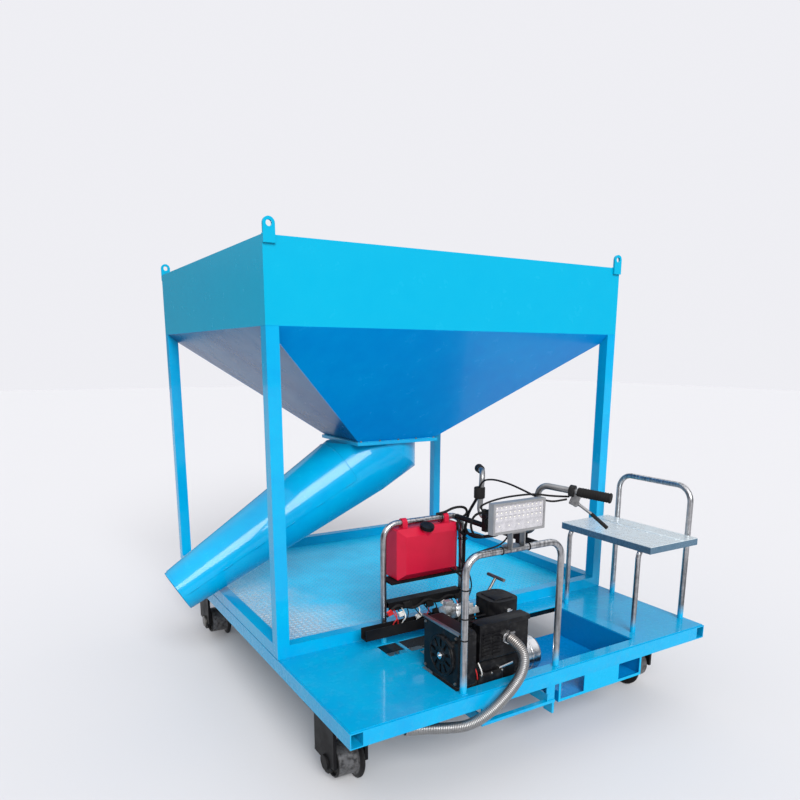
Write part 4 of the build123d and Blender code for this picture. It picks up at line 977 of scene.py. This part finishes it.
class TROLLEY_OT_drive_chain(Operator):
    """Model the roller chain's links round both sprockets."""

    bl_idname = "trolley.drive_chain"
    bl_label = "Drive chain"

    PLATE = 0.0018
    RISE = 0.007
    SEGMENTS = 24

    def loop_points(self):
        """Points of the chain's pitch line round both sprockets."""
        circles = []
        for node in ("output_sprocket", "axle_sprocket"):
            low, high, middle = extent(node)
            circles.append((middle, (high.z - low.z) / 2 + self.RISE))
        (start, small), (end, large) = circles
        run = Vector((end.y - start.y, end.z - start.z))
        heading = math.atan2(run.y, run.x)
        lean = math.acos((small - large) / run.length)
        points = []
        for centre, radius, first, last in (
            (start, small, heading + lean, heading + 2 * math.pi - lean),
            (end, large, heading - lean, heading + lean),
        ):
            for i in range(self.SEGMENTS + 1):
                angle = first + (last - first) * i / self.SEGMENTS
                y, z = radius * math.cos(angle), radius * math.sin(angle)
                points.append((centre.x, centre.y + y, centre.z + z))
        return points

    def link(self, pitch, width):
        """One inner and one outer link with their rollers, along +X."""
        piece = opened("chain_links")
        cylinder = bpy.ops.mesh.primitive_cylinder_add
        plate = (pitch * 1.36, pitch * 0.56, self.PLATE)
        for start, gap in ((0.0, width * 0.30), (pitch, width * 0.42)):
            for side in (-1, 1):
                place = (start + pitch / 2, 0.0, side * gap)
                cylinder(vertices=10, radius=0.5, depth=1.0, location=place, scale=plate)
        roller = {"vertices": 10, "radius": pitch * 0.27, "depth": width * 0.5}
        pin = {"vertices": 8, "radius": pitch * 0.12, "depth": width * 0.98}
        for start in (0.0, pitch):
            cylinder(location=(start, 0.0, 0.0), **roller)
            cylinder(location=(start, 0.0, 0.0), **pin)
        return piece

    def execute(self, context):
        path = route("chain_path", self.loop_points(), "POLY", True)
        length = path.data.splines[0].calc_length()
        count = round(length / sizes().chain_pitch / 2)
        pitch = length / count / 2
        low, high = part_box("drive_chain")
        links = self.link(pitch, high.x - low.x)
        repeat(links, count, (2 * pitch, 0.0, 0.0))
        modify(links, "CURVE", object=path, deform_axis="POS_X")
        bpy.data.objects.remove(path)
        dress(smooth(links), oiled_steel)
        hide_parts("drive_chain")
        return {"FINISHED"}


class TROLLEY_OT_weld_beads(Operator):
    """Lay rippled weld beads along the main seams."""

    bl_idname = "trolley.weld_beads"
    bl_label = "Weld beads"

    POST = 0.05
    TACKS = (-0.5, 0.0, 0.5)
    LUG_WIDTH = 0.044
    LUG_DEPTH = 0.010
    LIP = 0.012
    TUBE = 0.025
    # Axis and radius of the chute, and where the sheet is lapped over it
    CHUTE_TOP = (0.0, 0.3055, 1.039)
    CHUTE_SLOPE = 29.4
    CHUTE_RADIUS = 0.199
    CHUTE_TAPER = 0.0804
    LAP_START = 0.252
    LAP_END = 1.202
    STITCH = 0.05
    STITCHES = 6
    RIPPLE = (0.85, 0.85, 0.62)

    def seams(self):
        """Start and end of each seam."""
        lines = []

        def across(x, y, z, run):
            lines.append(((x, y, z), (x + run, y, z)))

        low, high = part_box("hopper_frame")
        for x in (low.x + self.POST, high.x - self.POST):
            for y in (low.y + self.POST, high.y - self.POST):
                lines.append(((x, y, low.z + 0.052), (x, y, low.z + 0.002)))
        for y in (low.y, high.y):
            for x in self.TACKS:
                across(x - 0.05, y, low.z + 0.001, 0.1)
        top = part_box("hopper_box")[1].z
        low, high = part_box("lifting_lugs")
        for y in (low.y + self.LUG_DEPTH, high.y - self.LUG_DEPTH):
            for x in (low.x, high.x - self.LUG_WIDTH):
                across(x, y, top, self.LUG_WIDTH)
        low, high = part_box("outlet_flange")
        x0, x1 = low.x + self.LIP, high.x - self.LIP
        y0, y1 = low.y + self.LIP, high.y - self.LIP
        for y in (y0, y1):
            across(x0, y, high.z, x1 - x0)
        for x in (x0, x1):
            lines.append(((x, y0, high.z), (x, y1, high.z)))
        for node in ("engine_guard", "tank_hoop"):
            low, high, middle = extent(node)
            for x in (low.x, high.x - self.TUBE):
                across(x, middle.y - 0.013, low.z, self.TUBE)
        step = (self.LAP_END - self.LAP_START - 0.09) / (self.STITCHES - 1)
        for i in range(self.STITCHES):
            run = self.LAP_START + 0.02 + step * i
            for angle in (-90.0, 90.0):
                end = self.on_chute(run + self.STITCH, angle)
                lines.append((self.on_chute(run, angle), end))
        arc = [self.on_chute(self.LAP_START, 10.0 * i) for i in range(-9, 10)]
        return lines + list(zip(arc, arc[1:]))

    def on_chute(self, run, angle):
        """Point on the chute at a distance along its axis and an angle from its top."""
        slope, turn = math.radians(self.CHUTE_SLOPE), math.radians(angle)
        along = Vector((-math.cos(slope), 0.0, -math.sin(slope)))
        over = Vector((-math.sin(slope), 0.0, math.cos(slope)))
        radius = self.CHUTE_RADIUS - self.CHUTE_TAPER * run
        reach = over * math.cos(turn) + REAR * math.sin(turn)
        return Vector(self.CHUTE_TOP) + along * run + reach * radius

    def execute(self, context):
        s = sizes()
        beads = []
        ball = {"segments": 8, "ring_count": 5, "radius": s.weld_radius}
        for start, end in self.seams():
            run = Vector(end) - Vector(start)
            bead = resized(added("weld_ripple", "uv_sphere", **ball), self.RIPPLE)
            repeat(bead, max(2, int(run.length / s.weld_pitch)), (0.0, 0.0, s.weld_pitch))
            bead.matrix_world = facing(start, run)
            beads.append(settle(bead))
        dress(smooth(join(beads, "weld_beads"), 60.0), blue_enamel)
        return {"FINISHED"}


class TROLLEY_OT_bolts(Operator):
    """Fit hexagon bolts with washers where pieces are fastened."""

    bl_idname = "trolley.bolts"
    bl_label = "Bolts"

    FLANGE_BOLTS = 5
    FLANGE_END = 0.02
    FLANGE_EDGE = 0.006
    CLAMP_EDGE = 0.013

    def execute(self, context):
        low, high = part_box("outlet_flange")
        step = (high.x - low.x - 2 * self.FLANGE_END) / (self.FLANGE_BOLTS - 1)
        places = [
            facing((low.x + self.FLANGE_END + step * i, y, high.z), UP, 0.3 * i)
            for i in range(self.FLANGE_BOLTS)
            for y in (low.y + self.FLANGE_EDGE, high.y - self.FLANGE_EDGE)
        ]
        bolts("flange_bolts", 0.0045, places)
        low, high, middle = extent("handlebar_clamps")
        places = [
            facing((middle.x + side, y, high.z), UP, y)
            for y in (low.y + self.CLAMP_EDGE, high.y - self.CLAMP_EDGE)
            for side in (-self.CLAMP_EDGE, self.CLAMP_EDGE)
        ]
        bolts("clamp_bolts", 0.0038, places)
        return {"FINISHED"}


class TROLLEY_OT_cable_ties(Operator):
    """Put plastic ties round the guard's left post and top bar."""

    bl_idname = "trolley.cable_ties"
    bl_label = "Cable ties"

    HEIGHTS = (0.735, 0.633, 0.555)
    ACROSS = (-0.262, -0.142)

    def execute(self, context):
        low, high, middle = extent("engine_guard")
        radius = (high.y - low.y) / 2
        tie = edit(ring("tie", radius + 0.0012, 0.0014, 1.7))
        cuboid((-radius - 0.002, -0.004, 0.0), (0.005, 0.005, 0.005))
        cuboid((-radius - 0.009, -0.004, 0.0), (0.013, 0.0012, 0.0030))
        x, y = low.x + radius, middle.y
        places = [facing((x, y, z), UP, 0.9 * i) for i, z in enumerate(self.HEIGHTS)]
        places += [facing((x, y, high.z - radius), RIGHT, 2.6) for x in self.ACROSS]
        dress(smooth(copies(tie, places, "cable_ties")), black_moulding)
        return {"FINISHED"}


class TROLLEY_OT_controls(Operator):
    """Model the grips' ribs and the brake lever's clamp, perch and sleeve."""

    bl_idname = "trolley.controls"
    bl_label = "Controls"

    # Outer end and inner bend of each raised end of the handlebar
    NEAR = ((0.034, -1.233, 1.040), (-0.081, -1.010, 1.062))
    FAR = ((0.034, -0.507, 1.040), (-0.081, -0.682, 1.062))
    SLEEVE = ((0.0062, -1.1791, 0.9793), (0.0200, -1.2060, 0.9570), (0.0327, -1.2304, 0.9363))
    GRIP = 0.016
    RIBS = 11
    FIRST_RIB = 0.010
    RIB_PITCH = 0.0085
    PIVOT = 0.131

    def execute(self, context):
        places, ends = [], []
        for end, bend in (self.NEAR, self.FAR):
            end = Vector(end)
            along = (Vector(bend) - end).normalized()
            runs = [self.FIRST_RIB + self.RIB_PITCH * i for i in range(self.RIBS)]
            places += [facing(end + along * run, along) for run in runs]
            ends.append(facing(end, along))
        rings("grip_ribs", places, self.GRIP, 0.0013, 1.6, rubber_skin)
        rings("grip_ends", ends, self.GRIP - 0.001, 0.0035, 1.0, rubber_skin)
        end, bend = (Vector(point) for point in self.NEAR)
        along = (bend - end).normalized()
        pivot = end + along * self.PIVOT
        block = pivot + Vector((-0.012, -0.006, 0.010))
        with fitting("lever_clamp", 0.002, black_moulding):
            barrel(pivot, along, 0.0208, 0.020)
            cuboid(block, (0.016, 0.016, 0.016), (0.3, 0.2, 0.47))
        turn = (0.35, 0.0, math.atan2(along.y, along.x) - math.pi / 2)
        with fitting("lever_perch", 0.003, bar_plating):
            cuboid(pivot + Vector((0.004, -0.010, -0.030)), (0.016, 0.030, 0.040), turn)
            barrel(pivot + Vector((0.006, -0.016, -0.044)), (1.0, 0.5, 0.0), 0.009, 0.024)
        lead("lever_sleeve", self.SLEEVE, 0.0068)
        return {"FINISHED"}


class TROLLEY_OT_leads(Operator):
    """Run the lamp's leads, the fuel line and the thin leads past the tank."""

    bl_idname = "trolley.leads"
    bl_label = "Leads"

    # Radius and control points of each lead, from one fastening to the other
    RUNS = {
        "lamp_harness": (0.0065, (
            (-0.056, -0.541, 0.800), (-0.062, -0.560, 0.782), (-0.110, -0.680, 0.796),
            (-0.160, -0.830, 0.842), (-0.215, -0.960, 0.886), (-0.240, -1.015, 0.935),
            (-0.240, -1.040, 0.950),
        )),
        "lamp_return": (0.0042, (
            (-0.305, -1.030, 0.985), (-0.325, -0.985, 0.990), (-0.345, -0.960, 0.950),
            (-0.310, -0.930, 0.890), (-0.235, -0.900, 0.862), (-0.160, -0.780, 0.836),
            (-0.105, -0.620, 0.800), (-0.058, -0.548, 0.772), (-0.054, -0.535, 0.758),
        )),
        "lamp_loop": (0.0036, (
            (-0.290, -1.030, 0.980), (-0.300, -0.985, 0.965), (-0.290, -0.975, 0.930),
            (-0.255, -0.985, 0.915), (-0.235, -1.036, 0.940),
        )),
        "top_lead": (0.0036, (
            (-0.028, -1.106, 1.030), (-0.060, -1.060, 1.026), (-0.110, -1.026, 1.034),
            (-0.180, -1.022, 1.036), (-0.255, -1.020, 1.034), (-0.318, -1.012, 1.022),
            (-0.335, -0.990, 1.000), (-0.310, -1.010, 0.985),
        )),
        "hoop_lead": (0.0030, (
            (-0.225, -1.040, 0.925), (-0.235, -1.030, 0.890), (-0.262, -1.017, 0.864),
            (-0.330, -1.017, 0.858), (-0.392, -1.015, 0.845), (-0.412, -1.015, 0.790),
            (-0.412, -1.015, 0.640), (-0.405, -1.010, 0.575), (-0.365, -0.960, 0.560),
        )),
        "corner_loop": (0.0055, (
            (-0.185, -0.515, 0.868), (-0.152, -0.518, 0.869), (-0.115, -0.540, 0.894),
            (-0.066, -0.552, 0.893), (-0.052, -0.552, 0.860), (-0.105, -0.556, 0.845),
            (-0.112, -0.556, 0.805), (-0.070, -0.550, 0.776), (-0.056, -0.542, 0.756),
            (-0.054, -0.534, 0.735),
        )),
        "thin_cable": (0.0028, (
            (-0.105, -0.556, 0.830), (-0.122, -0.590, 0.790), (-0.128, -0.600, 0.720),
            (-0.122, -0.610, 0.675), (-0.115, -0.660, 0.640), (-0.160, -0.740, 0.600),
            (-0.215, -0.770, 0.575),
        )),
        "fuel_line": (0.0040, (
            (-0.150, -0.575, 0.645), (-0.148, -0.600, 0.640), (-0.152, -0.660, 0.634),
            (-0.190, -0.720, 0.600), (-0.225, -0.745, 0.566),
        )),
        "plug_lead": (0.0042, (
            (-0.250, -0.825, 0.560), (-0.262, -0.860, 0.585), (-0.310, -0.880, 0.585),
            (-0.342, -0.885, 0.545), (-0.350, -0.885, 0.510),
        )),
    }

    def execute(self, context):
        for name, (radius, points) in self.RUNS.items():
            lead(name, points, radius)
        with fitting("lamp_plug", 0.003, black_moulding):
            cuboid((-0.298, -1.020, 0.984), (0.034, 0.030, 0.026))
            barrel((-0.306, -0.996, 0.986), (-0.3, 1.0, 0.1), 0.009, 0.024)
        with fitting("riser_wrap", 0.004, rubber_skin):
            barrel((-0.0890, -0.6755, 0.976), UP, 0.0220, 0.046)
        ties = [facing((-0.168, -0.515, 0.852), RIGHT), facing((-0.054, -0.521, 0.748), UP)]
        rings("lead_ties", ties, 0.0205, 0.0014, 1.7, black_moulding)
        return {"FINISHED"}


class TROLLEY_OT_wiring(Operator):
    """Fill the space between the wiring rails with leads and connectors."""

    bl_idname = "trolley.wiring"
    bl_label = "Wiring"

    # X at the upper rail, X at the lower rail, bulge towards -Y and finish of each lead
    DROPS = (
        (-0.412, -0.392, 0.022, "red"),
        (-0.402, -0.418, 0.032, "red"),
        (-0.384, -0.352, 0.018, "black"),
        (-0.366, -0.376, 0.036, "white"),
        (-0.338, -0.352, 0.014, "black"),
        (-0.312, -0.282, 0.028, "black"),
        (-0.286, -0.304, 0.020, "white"),
        (-0.262, -0.236, 0.032, "black"),
        (-0.238, -0.258, 0.016, "red"),
        (-0.206, -0.220, 0.024, "black"),
        (-0.182, -0.156, 0.032, "white"),
        (-0.150, -0.176, 0.018, "black"),
        (-0.122, -0.138, 0.028, "black"),
        (-0.100, -0.094, 0.014, "red"),
    )
    # X, height, width, height of the block and finish of each connector
    PLUGS = (
        (-0.432, 0.500, 0.022, 0.018, "red"),
        (-0.380, 0.486, 0.024, 0.016, "white"),
        (-0.350, 0.522, 0.036, 0.022, "black"),
        (-0.296, 0.463, 0.026, 0.014, "white"),
        (-0.242, 0.504, 0.032, 0.022, "black"),
        (-0.214, 0.470, 0.024, 0.016, "black"),
        (-0.176, 0.500, 0.022, 0.013, "white"),
        (-0.146, 0.484, 0.038, 0.022, "black"),
        (-0.104, 0.512, 0.030, 0.020, "black"),
    )
    PLUG_PLACE = -0.560
    PLUG_DEPTH = 0.016
    HARNESS = (
        (-0.438, -0.545, 0.480), (-0.410, -0.556, 0.530), (-0.360, -0.552, 0.512),
        (-0.310, -0.558, 0.496), (-0.255, -0.552, 0.530), (-0.200, -0.558, 0.500),
        (-0.150, -0.552, 0.526), (-0.100, -0.556, 0.506), (-0.062, -0.546, 0.538),
        (-0.054, -0.534, 0.556),
    )
    FINISHES = {"red": red_lead, "white": white_lead, "black": rubber_skin}

    def execute(self, context):
        lead("rail_harness", self.HARNESS, 0.0062)
        for number, (top, bottom, bulge, colour) in enumerate(self.DROPS, 1):
            points = (
                (top, -0.515, 0.512),
                (top, -0.532 - bulge, 0.494),
                ((top + bottom) / 2, -0.545 - bulge, 0.472),
                (bottom, -0.552 - bulge / 3, 0.456),
                (bottom, -0.550, 0.424),
            )
            lead(f"rail_lead_{number}", points, 0.0024, self.FINISHES[colour])
        for colour, maker in self.FINISHES.items():
            plug = edit(added(f"{colour}_plug", "cube", size=1.0))
            pick_faces(plug, UP)
            bpy.ops.mesh.inset(thickness=0.16)
            bpy.ops.transform.translate(value=(0.0, 0.0, -0.3))
            rounded(plug, 0.08, 1)
            places = [
                Matrix.Translation((x, self.PLUG_PLACE, z))
                @ Matrix.Rotation(0.4 * math.sin(90.0 * x), 4, "Y")
                @ Matrix.Diagonal((width, self.PLUG_DEPTH, height, 1.0))
                for x, z, width, height, tint in self.PLUGS
                if tint == colour
            ]
            dress(copies(plug, places, f"{colour}_connectors"), maker)
        return {"FINISHED"}


class TROLLEY_OT_engine_fittings(Operator):
    """Model the engine's bright head, hub, strips, nuts, lips and covers."""

    bl_idname = "trolley.engine_fittings"
    bl_label = "Engine fittings"

    RECOIL = (-0.915, 0.458)
    HEAD_AXIS = (0.0, 0.4226, 0.9063)
    HEAD_SEAT = (-0.244, -0.7906, 0.5274)
    HOSE_START = (-0.198, -1.0033, 0.512)
    SCREW_EDGE = 0.018

    def execute(self, context):
        self.fan_side()
        self.head()
        self.silencer()
        self.front_cover()
        self.air_filter()
        self.drum_end()
        return {"FINISHED"}

    def fan_side(self):
        """Hub and rings of the recoil starter, with the strip and screws of its housing."""
        low, high, middle = extent("fan_cover")
        centre = Vector((low.x, *self.RECOIL))
        with fitting("recoil_hub", 0.0015, turned_steel):
            barrel(centre - RIGHT * 0.002, -RIGHT, 0.013, 0.008)
            barrel(centre - RIGHT * 0.007, -RIGHT, 0.007, 0.008, 6)
        places = [facing(centre, -RIGHT)]
        rings("recoil_ring", places, 0.066, 0.0022, 1.2, engine_enamel)
        rings("recoil_inner_ring", places, 0.026, 0.0018, 1.2, engine_enamel)
        length = high.y - low.y + 0.006
        edge = Vector((low.x + 0.012, middle.y, high.z + 0.003))
        with fitting("housing_strip", 0.001, bar_plating):
            cuboid(edge, (0.012, length, 0.004))
            cuboid(edge + Vector((-0.006, 0.0, -0.003)), (0.003, length, 0.008))
        with fitting("pull_handle", 0.002, black_moulding):
            barrel((low.x - 0.010, -0.985, 0.530), (0.0, 1.0, 0.35), 0.008, 0.046)
            barrel((low.x + 0.004, -0.985, 0.530), RIGHT, 0.006, 0.026)
        places = [
            facing((low.x + 0.010, y, z), -RIGHT, y)
            for y in (low.y + self.SCREW_EDGE, high.y - self.SCREW_EDGE)
            for z in (low.z + self.SCREW_EDGE, high.z - self.SCREW_EDGE)
        ]
        bolts("housing_screws", 0.0045, places)

    def head(self):
        """Bright cylinder head cover with its ribs and bolts, and the carburettor."""
        axis, seat = Vector(self.HEAD_AXIS), Vector(self.HEAD_SEAT)
        lean = (-math.atan2(axis.y, axis.z), 0.0, 0.0)
        with fitting("head_cover", 0.003, cast_alloy):
            cuboid(seat + axis * 0.012, (0.104, 0.092, 0.024), lean)
            cuboid(seat + axis * 0.032, (0.080, 0.068, 0.020), lean)
            for shift in (-0.026, 0.0, 0.026):
                cuboid(seat + axis * 0.046 + RIGHT * shift, (0.008, 0.060, 0.010), lean)
        across = axis.cross(RIGHT)
        places = [
            facing(seat + axis * 0.024 + RIGHT * x + across * y, axis, x)
            for x in (-0.045, 0.045)
            for y in (-0.039, 0.039)
        ]
        bolts("head_bolts", 0.0045, places)
        with fitting("carburettor", 0.002, cast_alloy):
            barrel((-0.292, -0.762, 0.520), UP, 0.022, 0.040)
            barrel((-0.292, -0.762, 0.556), (1.0, 0.3, 0.0), 0.020, 0.062)
            cuboid((-0.292, -0.762, 0.582), (0.030, 0.026, 0.018))

    def silencer(self):
        """Lip, louvres and port nut of the silencer, and the hose's clamp."""
        low, high, middle = extent("muffler")
        width, depth = high.x - low.x + 0.010, high.y - low.y + 0.010
        with fitting("silencer_lip", 0.001, engine_enamel):
            cuboid((middle.x, middle.y, high.z + 0.002), (width, depth, 0.004))
            cuboid((middle.x, low.y - 0.003, high.z - 0.006), (width, 0.004, 0.016))
        place = (low.x + 0.052, low.y - 0.0015, middle.z - 0.006)
        louvres = edit(panel("silencer_louvres", 2, 7, place, 0.086, 0.092), "SELECT")
        bpy.ops.mesh.inset(use_individual=True, thickness=0.0028)
        bpy.ops.mesh.inset(use_individual=True, thickness=0.0018, depth=0.004)
        deselect()
        dress(louvres, engine_enamel)
        start = Vector(self.HOSE_START)
        with fitting("port_nut", 0.0015, turned_steel):
            barrel(start - REAR * 0.004, -REAR, 0.027, 0.012, 6)
        with fitting("hose_clamp", 0.001, bar_plating):
            barrel(start - REAR * 0.020, -REAR, 0.0200, 0.012, 28)
            cuboid(start + Vector((0.006, -0.020, 0.022)), (0.022, 0.010, 0.008))

    def front_cover(self):
        """Cover with bolts on the crankcase's front, with its plug, arm and leads."""
        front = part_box("engine_block")[0].y
        with fitting("crankcase_cover", 0.003, engine_enamel) as cover:
            cuboid((-0.262, front - 0.005, 0.352), (0.110, 0.014, 0.078))
            pick_faces(cover, -REAR)
            bpy.ops.mesh.inset(thickness=0.010)
            bpy.ops.transform.translate(value=(0.0, -0.006, 0.0))
            barrel((-0.300, front - 0.012, 0.318), -REAR, 0.011, 0.018, 6)
        places = [
            facing((x, front - 0.012, z), -REAR, x + z)
            for x in (-0.309, -0.262, -0.215)
            for z in (0.319, 0.385)
        ]
        bolts("cover_bolts", 0.0042, places)
        with fitting("governor_arm", 0.001, turned_steel):
            cuboid((-0.188, front - 0.004, 0.395), (0.062, 0.005, 0.010), (0.0, -0.13, 0.0))
            barrel((-0.216, front - 0.004, 0.391), -REAR, 0.008, 0.010)
        for name, maker, shift in (
            ("front_red_lead", red_lead, 0.0),
            ("front_white_lead", white_lead, 0.022),
        ):
            points = (
                (-0.335 + shift, front + 0.010, 0.440),
                (-0.342 + shift, front - 0.014, 0.428),
                (-0.330 + shift, front - 0.016, 0.400),
                (-0.322 + shift, front - 0.008, 0.372),
            )
            lead(name, points, 0.0026, maker)

    def air_filter(self):
        """Knob and lid of the air filter."""
        low, high, middle = extent("air_filter")
        place = Vector((middle.x, low.y, high.z - 0.036))
        with fitting("filter_knob", 0.0012, turned_steel):
            barrel(place - REAR * 0.004, -REAR, 0.009, 0.010)
            cuboid(place - REAR * 0.010, (0.026, 0.004, 0.006))
        size = (high.x - low.x - 0.046, high.y - low.y - 0.046, 0.014)
        with fitting("filter_lid", 0.005, black_moulding):
            cuboid((middle.x, middle.y, high.z - 0.002), size)

    def drum_end(self):
        """Nut, bolts and rings of the drum."""
        low, high, middle = extent("clutch_drum")
        end = Vector((high.x, middle.y, middle.z))
        bolts("drum_nut", 0.012, [facing(end, RIGHT)])
        places = [
            facing(end + Matrix.Rotation(turn, 3, "X") @ REAR * 0.034, RIGHT, turn)
            for turn in (0.4, 2.5, 4.6)
        ]
        bolts("drum_bolts", 0.005, places)
        places = [
            facing((low.x + share * (high.x - low.x), middle.y, middle.z), RIGHT)
            for share in (0.12, 0.62)
        ]
        rings("drum_rings", places, (high.z - low.z) / 2, 0.0022, 1.6, turned_steel)


class TROLLEY_OT_trim(Operator):
    """Model the seat's seam and rivets and the tank cap's ribs."""

    bl_idname = "trolley.trim"
    bl_label = "Trim"

    SEAM = 0.095
    RIVETS = 7
    RIVET_START = 0.03
    RIVET_PITCH = 0.075
    RIVET_SIDE = 0.013
    CAP_TILT = 20.0
    CAP_RIBS = 22

    def execute(self, context):
        low, high, middle = extent("seat_plate")
        x = high.x - self.SEAM
        with fitting("seat_seam", 0.0008, seat_sheet):
            cuboid((x, middle.y, high.z + 0.0006), (0.016, high.y - low.y - 0.004, 0.0022))
        ball = {"segments": 12, "ring_count": 6, "radius": 0.004}
        rivet = resized(added("rivet", "uv_sphere", **ball), (1.0, 1.0, 0.5))
        first = low.y + self.RIVET_START
        places = [
            Matrix.Translation((x + side, first + self.RIVET_PITCH * i, high.z))
            for i in range(self.RIVETS)
            for side in (-self.RIVET_SIDE, self.RIVET_SIDE)
        ]
        dress(smooth(copies(rivet, places, "seat_rivets"), 60.0), seat_sheet)
        low, high, middle = extent("tank_cap")
        tilt = math.radians(self.CAP_TILT)
        axis = Vector((0.0, -math.sin(tilt), math.cos(tilt)))
        rib = opened("cap_ribs")
        cuboid(((high.x - low.x) / 2, 0.0, 0.0), (0.0024, 0.0036, 0.011))
        turn = 2 * math.pi / self.CAP_RIBS
        places = [facing(middle, axis, turn * i) for i in range(self.CAP_RIBS)]
        dress(copies(rib, places, "cap_ribs"), black_moulding)
        return {"FINISHED"}


STEPS = (
    TROLLEY_OT_stage,
    TROLLEY_OT_finishes,
    TROLLEY_OT_exhaust_hose,
    TROLLEY_OT_tread_bars,
    TROLLEY_OT_lamp_cells,
    TROLLEY_OT_drive_chain,
    TROLLEY_OT_weld_beads,
    TROLLEY_OT_bolts,
    TROLLEY_OT_cable_ties,
    TROLLEY_OT_controls,
    TROLLEY_OT_leads,
    TROLLEY_OT_wiring,
    TROLLEY_OT_engine_fittings,
    TROLLEY_OT_trim,
)


class TROLLEY_PT_steps(Panel):
    """Sidebar list of the trolley's pieces."""

    bl_idname = "TROLLEY_PT_steps"
    bl_label = "Rail trolley"
    bl_space_type = "VIEW_3D"
    bl_region_type = "UI"
    bl_category = "Trolley"

    def draw(self, context):
        for group in (context.scene.trolley_colours, context.scene.trolley_sizes):
            for name in group.__annotations__:
                self.layout.prop(group, name)
        for step in STEPS:
            self.layout.operator(step.bl_idname)


CLASSES = (TrolleyColours, TrolleySizes, *STEPS, TROLLEY_PT_steps)


def register():
    for cls in CLASSES:
        bpy.utils.register_class(cls)
    bpy.types.Scene.trolley_colours = PointerProperty(type=TrolleyColours)
    bpy.types.Scene.trolley_sizes = PointerProperty(type=TrolleySizes)


def unregister():
    del bpy.types.Scene.trolley_sizes
    del bpy.types.Scene.trolley_colours
    for cls in reversed(CLASSES):
        bpy.utils.unregister_class(cls)


def main():
    register()
    for step in STEPS:
        group, name = step.bl_idname.split(".")
        getattr(getattr(bpy.ops, group), name)()


if __name__ == "__main__":
    main()
